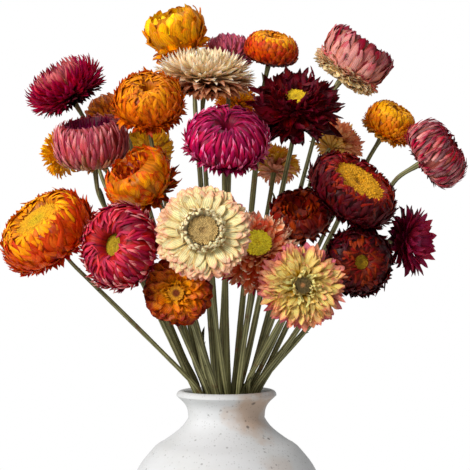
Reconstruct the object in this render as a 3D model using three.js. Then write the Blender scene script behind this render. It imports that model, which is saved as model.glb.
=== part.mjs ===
// A bouquet of dried everlasting daisies in a ceramic vase.
// Millimetres, +Z up, the front faces -Y, and the origin is the centre of the vase's underside.

import * as THREE from "three";

// The vase
const VASE_HEIGHT = 122;
const WALL = 4;
const FLOOR_THICKNESS = 6;
const FOOT_RADIUS = 31.5;
const FOOT_CHAMFER = 1.6;
const BELLY_RADIUS = 57;
const BELLY_HALF_HEIGHT = 59.5;
const BELLY_CENTRE = 48;
const SHOULDER_HEIGHT = 91;
const NECK_RADIUS = 20.8;
const NECK_HEIGHT = 107;
const RIM_RADIUS = 26.6;
const LIP_DROP = 2;
const NECK_FOOT = { out: 8.2, below: 9 };
const NECK_FLARE = { out: 2.4, above: 8 };
const INNER_CORNER = 3;
const BELLY_STEPS = 9;
const NECK_STEPS = 8;
const VASE_SEGMENTS = 40;

// The stems
const STEM_RADIUS = 1.85;
const STEM_SIDES = 6;
const STEM_POINTS = 20;
const STRAIGHT_BELOW_HEAD = 13;
const FOOT_LIFT = 0.9;
const GAP = 0.3;

// The bundle leans on the front of the neck, which leaves the back of the vase's mouth free.
const BUNDLE_BACK = 8.6;
const BUNDLE_AXIS_AT_NECK = new THREE.Vector2(0, -4);
const BUNDLE_AXIS_AT_FLOOR = new THREE.Vector2(0, -13);
const BUNDLE_RADIUS_AT_NECK = 12.5;
const BUNDLE_RADIUS_AT_FLOOR = 17;
const BUNDLE_TWIST = THREE.MathUtils.degToRad(100);
const BOUQUET_MIDDLE = new THREE.Vector2(0, -20);
const FULL_SPREAD = 105;
const STRAIGHT_IN_NECK = 8;
const MOUTH_MARGIN = 4;

// Settling of the stems
const SETTLING_PASSES = 320;
const STRAIGHTENING_SHARE = 0.8;
const PUSH = 0.55;
const STEM_CLEARANCE = 0.75;
const HEAD_CLEARANCE = 1.6;
const WALL_CLEARANCE = 1.3;
const STIFFNESS = 0.35;

// Outlines of the heads: share of the radius and share of the depth, from the stem's end to the top.
const OUTLINES = {
  dome: [[0.2, 0], [0.66, 0.1], [0.96, 0.34], [1, 0.55], [0.84, 0.82], [0.5, 0.98], [0, 1]],
  cup: [[0.2, 0], [0.58, 0.08], [0.9, 0.34], [1, 0.66], [0.9, 1], [0.5, 0.94], [0, 0.72]],
  open: [[0.22, 0], [0.62, 0.14], [0.95, 0.42], [1, 0.62], [0.86, 0.84], [0.45, 1], [0, 0.96]],
  reflexed: [[0.24, 0], [0.86, 0.06], [1, 0.22], [0.82, 0.45], [0.74, 0.78], [0.5, 1], [0, 0.94]],
};
const HEAD_SEGMENTS = 12;

// One dried head: its middle, its turn round from the front towards +X and its lift above level
// in degrees, and its radius and depth.
function flower(name, form, color, at, [turn, lift], [radius, depth]) {
  return { name, form, color, at, turn, lift, radius, depth };
}

const HEADS = [
  flower("crimson_top_left", "dome", 0x5e0f26, [-89, 0, 290], [-55, 56], [23.5, 24]),
  flower("pink_left", "cup", 0xb25168, [-72.5, -22, 256], [-23, 72], [20, 27]),
  flower("yellow_left_rear", "reflexed", 0xd9921e, [-95, 34, 254.5], [-118, 12], [15.5, 17]),
  flower("orange_ball", "dome", 0xcf6a14, [-41, -38, 279], [-2, 50], [19.5, 23]),
  flower("amber_rear_left", "dome", 0xb8560f, [-68, 38, 275], [-140, 34], [13, 16]),
  flower("yellow_top", "cup", 0xe09a1c, [-28, 20, 319.5], [-50, 66], [17, 26]),
  flower("cream_top", "open", 0xdcc39c, [-12, -8, 296], [12, 76], [27, 26]),
  flower("plum_top_rear", "dome", 0x8c3b63, [1, 36, 310], [180, 60], [14, 16]),
  flower("orange_top", "dome", 0xc85a18, [25, 8, 310.5], [27, 66], [15, 16]),
  flower("orange_rear", "open", 0xd97a18, [6, 50, 285], [20, 60], [14, 14]),
  flower("magenta_mid", "dome", 0x8e1e46, [0.5, -58, 258.5], [6, 52], [23.5, 23]),
  flower("maroon_top", "open", 0x4a0a1c, [37, -28, 278], [2, 42], [23, 24]),
  flower("pink_top_right", "cup", 0xd08a84, [70, 6, 303], [80, 55], [19.5, 28]),
  flower("blush_rear", "open", 0xd9a078, [64, 40, 261], [130, 40], [17.5, 18]),
  flower("orange_right", "cup", 0xd98c20, [90.5, 6, 269.5], [55, 55], [15, 19]),
  flower("crimson_right", "cup", 0x8c1f3c, [114, -12, 252], [72, 32], [19.5, 22]),
  flower("maroon_right", "open", 0x560c1c, [67, -54, 233], [46, 46], [24.5, 22]),
  flower("wine_low_right", "open", 0x4e0d28, [101.5, -16, 204.5], [58, 4], [20, 18]),
  flower("maroon_low", "open", 0x520d18, [69, -60, 194.5], [12, -2], [18, 16]),
  flower("rust_mid", "cup", 0x7c2416, [39, -48, 217.5], [-6, 44], [15.5, 18]),
  flower("cream_low", "open", 0xdcb884, [38, -97, 183.5], [4, 8], [20, 14]),
  flower("salmon_mid", "open", 0xd0735c, [15.5, -78, 201], [3, 30], [22, 17]),
  flower("cream_mid", "open", 0xe2cfa6, [-11, -105, 210.8], [0, 14], [24, 14]),
  flower("magenta_left", "open", 0x8c1834, [-54.5, -80, 203], [-36, 10], [22, 20]),
  flower("orange_left", "open", 0xd9701a, [-94, -50, 210], [-50, 46], [25, 23]),
  flower("orange_cup", "cup", 0xc9591a, [-44.5, -44, 236.5], [-48, 46], [19, 24]),
  flower("copper_low", "open", 0x9c4412, [-25, -76, 179.5], [-2, -6], [18, 13]),
  flower("yellow_rear", "open", 0xd08a22, [-45, 40, 257], [190, 34], [14, 16]),
  flower("gold_rear", "reflexed", 0xb8752c, [28, 50, 249], [165, 58], [15.5, 17]),
];

const CERAMIC = { color: 0xe9e6e0, roughness: 0.5, metalness: 0 };
const STEM_SKIN = { color: 0x66643f, roughness: 0.75, metalness: 0 };
const BRACT_ROUGHNESS = 0.8;

function named(name, geometry, look) {
  const mesh = new THREE.Mesh(geometry, new THREE.MeshStandardMaterial(look));
  mesh.name = name;
  return mesh;
}

// The belly is an ellipse; this is its radius at a height above the foot.
function bellyRadius(height) {
  const rise = (height - BELLY_CENTRE) / BELLY_HALF_HEIGHT;
  return BELLY_RADIUS * Math.sqrt(1 - rise * rise);
}

// The vase's outer side from the shoulder to the rim, as a smooth curve.
function neckCurve() {
  return new THREE.SplineCurve([
    new THREE.Vector2(bellyRadius(SHOULDER_HEIGHT), SHOULDER_HEIGHT),
    new THREE.Vector2(NECK_RADIUS + NECK_FOOT.out, NECK_HEIGHT - NECK_FOOT.below),
    new THREE.Vector2(NECK_RADIUS, NECK_HEIGHT),
    new THREE.Vector2(NECK_RADIUS + NECK_FLARE.out, NECK_HEIGHT + NECK_FLARE.above),
    new THREE.Vector2(RIM_RADIUS, VASE_HEIGHT - LIP_DROP),
  ]);
}

// Points of the vase's outer side, from the foot to just below the lip.
function outerSide() {
  const side = [];
  for (let i = 0; i < BELLY_STEPS; i++) {
    const height = THREE.MathUtils.lerp(FOOT_CHAMFER, SHOULDER_HEIGHT, i / BELLY_STEPS);
    side.push(new THREE.Vector2(bellyRadius(height), height));
  }
  return [...side, ...neckCurve().getPoints(NECK_STEPS)];
}

// The inner side is the outer side moved in by the wall.
function innerSide() {
  const outer = outerSide().filter((point) => point.y > FLOOR_THICKNESS + INNER_CORNER);
  return outer.map((point) => new THREE.Vector2(point.x - WALL, point.y));
}

const INNER_SIDE = innerSide();

function innerRadiusAt(height) {
  for (let i = 1; i < INNER_SIDE.length; i++) {
    const [low, high] = [INNER_SIDE[i - 1], INNER_SIDE[i]];
    if (height <= high.y) {
      const share = THREE.MathUtils.clamp((height - low.y) / (high.y - low.y), 0, 1);
      return THREE.MathUtils.lerp(low.x, high.x, share);
    }
  }
  return INNER_SIDE.at(-1).x;
}

function vase() {
  const lip = new THREE.Vector2(RIM_RADIUS - WALL / 2, VASE_HEIGHT);
  const inner = INNER_SIDE.toReversed();
  const profile = [
    new THREE.Vector2(0, 0),
    new THREE.Vector2(FOOT_RADIUS, 0),
    ...outerSide(),
    lip,
    ...inner,
    new THREE.Vector2(inner.at(-1).x - WALL, FLOOR_THICKNESS),
    new THREE.Vector2(0, FLOOR_THICKNESS),
  ];
  const mesh = named("vase", new THREE.LatheGeometry(profile, VASE_SEGMENTS), CERAMIC);
  mesh.rotation.x = Math.PI / 2;
  return mesh;
}

function facing(head) {
  const turn = THREE.MathUtils.degToRad(head.turn);
  const lift = THREE.MathUtils.degToRad(head.lift);
  return new THREE.Vector3(
    Math.cos(lift) * Math.sin(turn),
    -Math.cos(lift) * Math.cos(turn),
    Math.sin(lift),
  );
}

function middle(head) {
  return new THREE.Vector3(...head.at);
}

// The point where the head sits on its stem.
function headBase(head) {
  return middle(head).addScaledVector(facing(head), -head.depth / 2);
}

function flowerHead(head) {
  const outline = OUTLINES[head.form].map(
    ([across, along]) => new THREE.Vector2(across * head.radius, along * head.depth),
  );
  const profile = [new THREE.Vector2(0, 0), ...outline];
  const look = { color: head.color, roughness: BRACT_ROUGHNESS, metalness: 0 };
  const mesh = named(`${head.name}_head`, new THREE.LatheGeometry(profile, HEAD_SEGMENTS), look);
  mesh.position.copy(headBase(head));
  mesh.quaternion.setFromUnitVectors(new THREE.Vector3(0, 1, 0), facing(head));
  return mesh;
}

// Where a stem passes the neck, on the side that its head leans to, and where it stands on the floor.
function stemInVase(head) {
  const lean = new THREE.Vector2(head.at[0], head.at[1]).sub(BOUQUET_MIDDLE);
  const spread = Math.min(1, lean.length() / FULL_SPREAD);
  const angle = lean.angle();
  const neck = new THREE.Vector2(Math.cos(angle), Math.sin(angle));
  neck.multiplyScalar(spread * BUNDLE_RADIUS_AT_NECK).add(BUNDLE_AXIS_AT_NECK);
  const turned = angle + BUNDLE_TWIST;
  const foot = new THREE.Vector2(Math.cos(turned), Math.sin(turned));
  foot.multiplyScalar(spread * BUNDLE_RADIUS_AT_FLOOR).add(BUNDLE_AXIS_AT_FLOOR);
  return { neck, foot };
}

// The first route of a stem: straight out of the head, down through the neck and on to the floor.
function firstRoute(head) {
  const top = headBase(head).addScaledVector(facing(head), -GAP);
  const { neck, foot } = stemInVase(head);
  const route = new THREE.CatmullRomCurve3([
    top,
    top.clone().addScaledVector(facing(head), -STRAIGHT_BELOW_HEAD),
    new THREE.Vector3(neck.x, neck.y, NECK_HEIGHT + STRAIGHT_IN_NECK),
    new THREE.Vector3(neck.x, neck.y, NECK_HEIGHT - STRAIGHT_IN_NECK),
    new THREE.Vector3(foot.x, foot.y, FLOOR_THICKNESS + FOOT_LIFT),
  ]);
  const points = route.getSpacedPoints(STEM_POINTS - 1);
  const pace = points[0].distanceTo(points[1]);
  points[1].copy(top).addScaledVector(facing(head), -pace);
  return points;
}

// The first two points stay in line with the head, and the last one keeps its height.
function isHeld(index) {
  return index < 2;
}

function move(points, index, shift, share) {
  if (!isHeld(index)) {
    points[index].addScaledVector(shift, share);
  }
}

// Draws each free point towards the line between its neighbours.
function straighten(points, stiffness) {
  for (let i = 2; i < points.length - 1; i++) {
    const between = points[i - 1].clone().add(points[i + 1]).multiplyScalar(0.5);
    points[i].lerp(between, stiffness);
  }
}

// Shares along two stretches of stem where they come nearest to each other.
function nearestShares(a, b, c, d) {
  const along = b.clone().sub(a);
  const across = d.clone().sub(c);
  const offset = a.clone().sub(c);
  const aa = along.dot(along);
  const cc = across.dot(across);
  const ac = along.dot(across);
  const ao = along.dot(offset);
  const co = across.dot(offset);
  const spread = aa * cc - ac * ac;
  const clamp = THREE.MathUtils.clamp;
  let s = spread > 1e-9 ? clamp((ac * co - ao * cc) / spread, 0, 1) : 0.5;
  const t = clamp((ac * s + co) / cc, 0, 1);
  s = clamp((ac * t - ao) / aa, 0, 1);
  return [s, t];
}

// Pushes two stretches of stem apart where they are closer than two stems may lie.
function partStretches(one, i, other, j) {
  const [a, b, c, d] = [one[i], one[i + 1], other[j], other[j + 1]];
  const reach = a.distanceTo(b) + c.distanceTo(d) + 4 * STEM_RADIUS;
  if (Math.abs(a.x - c.x) > reach || Math.abs(a.y - c.y) > reach || Math.abs(a.z - c.z) > reach) {
    return;
  }
  const [s, t] = nearestShares(a, b, c, d);
  const apart = a.clone().lerp(b, s).sub(c.clone().lerp(d, t));
  const distance = Math.max(apart.length(), 1e-6);
  const needed = 2 * STEM_RADIUS + STEM_CLEARANCE - distance;
  if (needed <= 0) {
    return;
  }
  const shift = apart.multiplyScalar((PUSH * needed) / distance);
  move(one, i, shift, 1 - s);
  move(one, i + 1, shift, s);
  move(other, j, shift, t - 1);
  move(other, j + 1, shift, -t);
}

function partStems(routes) {
  for (let one = 0; one < routes.length; one++) {
    for (let other = one + 1; other < routes.length; other++) {
      for (let i = 0; i < STEM_POINTS - 1; i++) {
        for (let j = 0; j < STEM_POINTS - 1; j++) {
          partStretches(routes[one], i, routes[other], j);
        }
      }
    }
  }
}

// Pushes a stem out of every head, each taken as a flattened ball.
function keepOffHeads(points) {
  for (const head of HEADS) {
    const centre = middle(head);
    const axis = facing(head);
    const across = head.radius + STEM_RADIUS + HEAD_CLEARANCE;
    const along = head.depth / 2 + STEM_RADIUS + HEAD_CLEARANCE;
    for (let i = 2; i < points.length; i++) {
      for (const share of [0.5, 1]) {
        const offset = points[i - 1].clone().lerp(points[i], share).sub(centre);
        const height = offset.dot(axis);
        const side = offset.clone().addScaledVector(axis, -height);
        const depth = Math.hypot(side.length() / across, height / along);
        if (depth < 1) {
          const shift = offset.multiplyScalar(Math.min(1 / depth - 1, 0.5));
          move(points, i, shift, share);
          move(points, i - 1, shift, 1 - share);
        }
      }
    }
  }
}

// How far a place inside the vase must move to clear the wall and the free back of the mouth.
function shiftIntoVase(place) {
  const shift = new THREE.Vector3();
  if (place.z > VASE_HEIGHT + MOUTH_MARGIN) {
    return shift;
  }
  const room = innerRadiusAt(place.z) - STEM_RADIUS - WALL_CLEARANCE;
  const radius = Math.hypot(place.x, place.y);
  if (radius > room) {
    shift.set(place.x, place.y, 0).multiplyScalar(room / radius - 1);
  }
  shift.y += Math.min(0, BUNDLE_BACK - STEM_RADIUS - place.y - shift.y);
  return shift;
}

// Keeps the whole length of a stem inside the vase, and its foot just above the floor.
function keepInVase(points) {
  for (let i = 2; i < points.length; i++) {
    for (const share of [0.25, 0.5, 0.75, 1]) {
      const shift = shiftIntoVase(points[i - 1].clone().lerp(points[i], share));
      move(points, i, shift, share);
      move(points, i - 1, shift, 1 - share);
    }
  }
  points.at(-1).z = FLOOR_THICKNESS + FOOT_LIFT;
}

// Settles all the stems together, so that none touches another, a head or the vase.
function settledRoutes() {
  const routes = HEADS.map(firstRoute);
  for (let pass = 0; pass < SETTLING_PASSES; pass++) {
    const stiffness = STIFFNESS * Math.max(0, 1 - pass / (STRAIGHTENING_SHARE * SETTLING_PASSES));
    for (const points of routes) {
      straighten(points, stiffness);
      keepOffHeads(points);
    }
    partStems(routes);
    routes.forEach(keepInVase);
  }
  return routes;
}

function stemSection() {
  const corners = [];
  for (let i = 0; i < STEM_SIDES; i++) {
    const angle = (2 * Math.PI * i) / STEM_SIDES;
    corners.push(new THREE.Vector2(STEM_RADIUS * Math.cos(angle), STEM_RADIUS * Math.sin(angle)));
  }
  return new THREE.Shape(corners);
}

function stem(head, points) {
  const extrudePath = new THREE.CatmullRomCurve3(points);
  const geometry = new THREE.ExtrudeGeometry(stemSection(), { extrudePath, steps: STEM_POINTS - 1 });
  return named(`${head.name}_stem`, geometry, STEM_SKIN);
}

function bouquet() {
  const group = new THREE.Group();
  group.add(vase());
  const routes = settledRoutes();
  HEADS.forEach((head, i) => group.add(flowerHead(head), stem(head, routes[i])));
  return group;
}

export default bouquet();
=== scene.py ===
"""Dried everlasting daisies in a speckled ceramic vase.

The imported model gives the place, size and direction of every head, stem and of the vase. This script grows
the papery bracts, the ribbed stems and the thrown vase on it, and lights them on a pale studio floor.
"""

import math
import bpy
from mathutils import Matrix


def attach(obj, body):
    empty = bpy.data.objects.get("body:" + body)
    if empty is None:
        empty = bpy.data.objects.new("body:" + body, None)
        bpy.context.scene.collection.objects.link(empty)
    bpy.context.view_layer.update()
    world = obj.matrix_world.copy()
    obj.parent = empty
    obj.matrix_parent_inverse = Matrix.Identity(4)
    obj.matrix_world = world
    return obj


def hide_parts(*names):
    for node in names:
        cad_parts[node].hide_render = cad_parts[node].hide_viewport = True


bl_info = {
    "name": "Dried Daisy Bouquet",
    "version": (1, 0, 0),
    "blender": (4, 5, 0),
    "location": "View3D > Sidebar > Bouquet",
    "description": "Dried everlasting daisies on their stems in a ceramic vase, with a plain studio",
    "category": "Add Mesh",
}

import bpy
import numpy as np
from bpy.props import (
    CollectionProperty,
    EnumProperty,
    FloatProperty,
    FloatVectorProperty,
    IntProperty,
    PointerProperty,
    StringProperty,
)
from mathutils import Vector

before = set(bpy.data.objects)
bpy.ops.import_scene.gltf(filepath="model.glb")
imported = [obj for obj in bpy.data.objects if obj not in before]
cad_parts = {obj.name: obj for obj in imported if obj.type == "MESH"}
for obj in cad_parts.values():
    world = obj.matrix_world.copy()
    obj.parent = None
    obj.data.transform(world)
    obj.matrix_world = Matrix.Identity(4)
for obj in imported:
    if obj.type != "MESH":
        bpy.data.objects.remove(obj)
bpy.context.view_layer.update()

MM = 0.001
BODY = "root"
GOLDEN_ANGLE = math.pi * (3 - math.sqrt(5))

# What each point of a mesh carries for the materials: how far along and across its bract or stem it is, the
# rank of its whorl from the lowest to the one round the disc, and a random number of its bract or stem.
VALUE_NAMES = ("along", "across", "rank", "chance")

# Edges are sharp where faces meet at more than this angle, in degrees.
SHARP = {"head": 55, "stem": 50, "vase": 40, "floor": 30}
HEAD_SEED = 100
STEM_SEED = 500

# How a head's bracts stand, whorl by whorl from the lowest, which hangs about the stem, to the one round the
# disc. A row gives where the tips of its whorl are, as a share of the head's radius and of its height, then
# two angles above the head's own floor in degrees, first where a bract leaves the head and then at its tip,
# half a bract's width as a share of the radius, and how crowded the whorl is. An angle over 90 leans in
# over the disc.
SHAPES = {
    "flat": (
        (0.88, 0.00, -34, -50, 0.090, 0.7),
        (0.99, 0.12, -24, -34, 0.098, 0.9),
        (1.00, 0.26, -12, -18, 0.102, 1.1),
        (0.97, 0.40, 0, -8, 0.102, 1.2),
        (0.91, 0.50, 8, -2, 0.098, 1),
        (0.84, 0.56, 16, 4, 0.086, 0.05),
        (0.60, 0.78, 20, 110, 0.054, 0.05),
        (0.55, 0.87, 30, 150, 0.050, 1.6),
        (0.47, 0.90, 42, 185, 0.046, 1.8),
    ),
    "layered": (
        (0.92, 0.00, -30, -46, 0.120, 0.9),
        (1.00, 0.16, -18, -26, 0.130, 1.2),
        (0.99, 0.34, -4, -8, 0.125, 1.3),
        (0.92, 0.50, 8, 4, 0.110, 1.1),
        (0.78, 0.64, 20, 18, 0.090, 0.9),
        (0.54, 0.76, 36, 44, 0.066, 0.6),
        (0.36, 0.84, 54, 80, 0.048, 0.8),
        (0.27, 0.84, 68, 110, 0.040, 0.8),
    ),
    "open": (
        (0.60, 0.00, -30, -74, 0.080, 1),
        (0.88, 0.11, -16, -34, 0.090, 1),
        (1.00, 0.32, 0, 4, 0.096, 1),
        (0.97, 0.54, 12, 36, 0.092, 1),
        (0.84, 0.74, 24, 62, 0.084, 1),
        (0.64, 0.89, 38, 84, 0.074, 1),
        (0.44, 0.96, 54, 104, 0.060, 1),
        (0.28, 0.90, 68, 108, 0.046, 0.8),
    ),
    "incurved": (
        (0.70, -0.05, -32, -76, 0.076, 1),
        (0.93, 0.06, -20, -34, 0.080, 1.2),
        (0.99, 0.26, 2, 40, 0.080, 1),
        (1.00, 0.48, 14, 70, 0.080, 1),
        (0.93, 0.72, 28, 104, 0.076, 1),
        (0.78, 0.91, 42, 134, 0.070, 1),
        (0.56, 1.00, 56, 160, 0.062, 1),
        (0.38, 0.97, 68, 184, 0.052, 1),
        (0.24, 0.86, 80, 200, 0.044, 0.8),
    ),
    "tuft": (
        (0.50, 0.00, -36, -84, 0.060, 0.8),
        (0.78, 0.05, -24, -60, 0.066, 1),
        (0.95, 0.20, -10, -14, 0.070, 1),
        (1.00, 0.42, 6, 30, 0.072, 1.2),
        (0.96, 0.62, 18, 60, 0.070, 1.2),
        (0.84, 0.79, 30, 84, 0.066, 1.2),
        (0.66, 0.91, 44, 102, 0.062, 1.2),
        (0.44, 0.98, 58, 116, 0.056, 1.2),
        (0.24, 1.00, 72, 118, 0.050, 1),
        (0.12, 0.97, 82, 100, 0.044, 0.8),
    ),
    "brush": (
        (0.54, 0.02, -30, -86, 0.060, 1),
        (0.82, 0.06, -10, -60, 0.066, 1),
        (0.98, 0.24, 14, -26, 0.070, 1.1),
        (1.00, 0.46, 30, 6, 0.070, 1.2),
        (0.93, 0.67, 44, 36, 0.066, 1.2),
        (0.77, 0.84, 56, 62, 0.060, 1.2),
        (0.54, 0.95, 66, 84, 0.056, 1.1),
        (0.32, 0.99, 76, 100, 0.050, 1),
        (0.16, 0.95, 84, 96, 0.046, 0.8),
    ),
    "star": (
        (0.60, 0.00, -40, -80, 0.080, 0.6),
        (0.92, 0.10, -26, -40, 0.095, 0.9),
        (1.00, 0.34, -6, -8, 0.105, 1.1),
        (0.98, 0.58, 12, 16, 0.105, 1.1),
        (0.84, 0.80, 30, 44, 0.100, 0.9),
        (0.50, 0.92, 50, 90, 0.100, 0.9),
        (0.34, 0.98, 62, 140, 0.085, 1),
        (0.20, 0.90, 74, 180, 0.065, 1),
    ),
    "ball": (
        (0.48, 0.01, -20, -70, 0.070, 0.8),
        (0.80, 0.06, -10, -25, 0.078, 1),
        (0.97, 0.24, 0, 42, 0.082, 0.9),
        (1.00, 0.47, 12, 80, 0.082, 0.9),
        (0.94, 0.71, 25, 107, 0.080, 1),
        (0.78, 0.91, 38, 134, 0.074, 1.1),
        (0.54, 1.00, 50, 164, 0.066, 1.1),
        (0.30, 0.97, 62, 196, 0.056, 1),
        (0.17, 0.87, 75, 218, 0.046, 1),
    ),
    "button": (
        (0.50, 0.02, -20, -60, 0.070, 0.8),
        (0.80, 0.06, -8, -10, 0.076, 1),
        (0.97, 0.22, 4, 55, 0.080, 1),
        (1.00, 0.45, 14, 86, 0.080, 1),
        (0.95, 0.68, 26, 110, 0.078, 1),
        (0.80, 0.88, 38, 138, 0.072, 1),
        (0.58, 0.98, 50, 165, 0.062, 1),
        (0.36, 0.96, 60, 192, 0.052, 1),
        (0.22, 0.87, 72, 214, 0.044, 1),
    ),
    "skirted": (
        (0.66, 0.00, -34, -88, 0.100, 0.7),
        (0.94, 0.08, -24, -52, 0.115, 0.9),
        (1.00, 0.24, -10, -14, 0.115, 0.9),
        (0.92, 0.36, 6, 50, 0.085, 0.8),
        (0.93, 0.56, 18, 84, 0.082, 1),
        (0.84, 0.76, 30, 112, 0.080, 1.2),
        (0.66, 0.93, 44, 140, 0.076, 1.3),
        (0.44, 1.00, 56, 168, 0.070, 1.2),
        (0.26, 0.94, 68, 200, 0.062, 1.1),
        (0.15, 0.84, 80, 222, 0.052, 0.8),
    ),
    "cup": (
        (0.50, 0.01, -24, -70, 0.090, 0.6),
        (0.84, 0.12, -14, 0, 0.100, 0.6),
        (0.99, 0.34, 0, 60, 0.110, 0.6),
        (1.00, 0.56, 8, 86, 0.110, 0.9),
        (0.96, 0.76, 16, 108, 0.110, 1.4),
        (0.83, 0.93, 26, 136, 0.108, 1.7),
        (0.66, 1.00, 36, 160, 0.100, 1.7),
        (0.58, 0.99, 48, 112, 0.096, 1.9),
        (0.46, 0.94, 60, 106, 0.084, 1.8),
        (0.32, 0.87, 72, 102, 0.070, 1.6),
        (0.18, 0.78, 80, 98, 0.054, 1.3),
    ),
    "tall": (
        (0.56, 0.03, -34, -88, 0.110, 1.2),
        (0.86, 0.09, -26, -56, 0.130, 1.5),
        (1.02, 0.20, -14, -22, 0.140, 1.7),
        (1.03, 0.32, 0, 10, 0.130, 1.6),
        (0.95, 0.44, 6, 60, 0.100, 0.1),
        (0.98, 0.74, 16, 86, 0.110, 0.3),
        (0.95, 0.90, 22, 104, 0.120, 1.1),
        (0.82, 1.00, 30, 130, 0.120, 1.6),
        (0.72, 1.00, 42, 118, 0.110, 1.2),
        (0.52, 0.96, 58, 112, 0.090, 1),
        (0.30, 0.88, 76, 104, 0.070, 1),
    ),
    "reflexed": (
        (0.58, 0.00, -20, -104, 0.095, 1),
        (0.90, 0.06, -6, -82, 0.105, 1),
        (1.00, 0.26, 8, -46, 0.105, 1),
        (0.96, 0.50, 22, -6, 0.100, 1),
        (0.82, 0.74, 38, 34, 0.092, 1),
        (0.60, 0.92, 54, 64, 0.080, 1),
        (0.38, 1.00, 68, 84, 0.062, 1),
        (0.22, 0.95, 78, 92, 0.050, 1),
    ),
    "rose": (
        (0.62, 0.00, -30, -56, 0.130, 0.7),
        (0.92, 0.10, -16, -24, 0.150, 0.9),
        (1.02, 0.24, -4, 8, 0.160, 0.7),
        (0.93, 0.46, 6, 70, 0.190, 0.5),
        (0.97, 0.68, 14, 90, 0.220, 0.8),
        (0.88, 0.88, 22, 116, 0.230, 1.1),
        (0.64, 1.00, 34, 144, 0.210, 1.2),
        (0.54, 1.00, 46, 124, 0.170, 1.3),
        (0.38, 0.96, 60, 116, 0.130, 1.3),
        (0.20, 0.88, 76, 106, 0.090, 1.3),
    ),
    "curled": (
        (0.70, 0.00, -30, -60, 0.066, 0.8),
        (0.94, 0.10, -16, -12, 0.070, 1),
        (1.00, 0.28, -2, 34, 0.074, 1.2),
        (0.97, 0.50, 12, 66, 0.074, 1.3),
        (0.85, 0.72, 24, 90, 0.070, 1.3),
        (0.67, 0.88, 38, 104, 0.064, 1.2),
        (0.48, 0.93, 52, 110, 0.056, 1),
        (0.34, 0.86, 66, 114, 0.048, 0.8),
    ),
}

# Heads whose bracts lie along a rounded outline up to their tips, and those where only the sides do. A whorl
# lies on such an outline when its tips stand at more than the leaning angle, in degrees.
ROUNDED = ("ball", "button", "skirted", "incurved")
CUPPED = ("cup", "tall", "rose")
LEANING = 35

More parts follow.
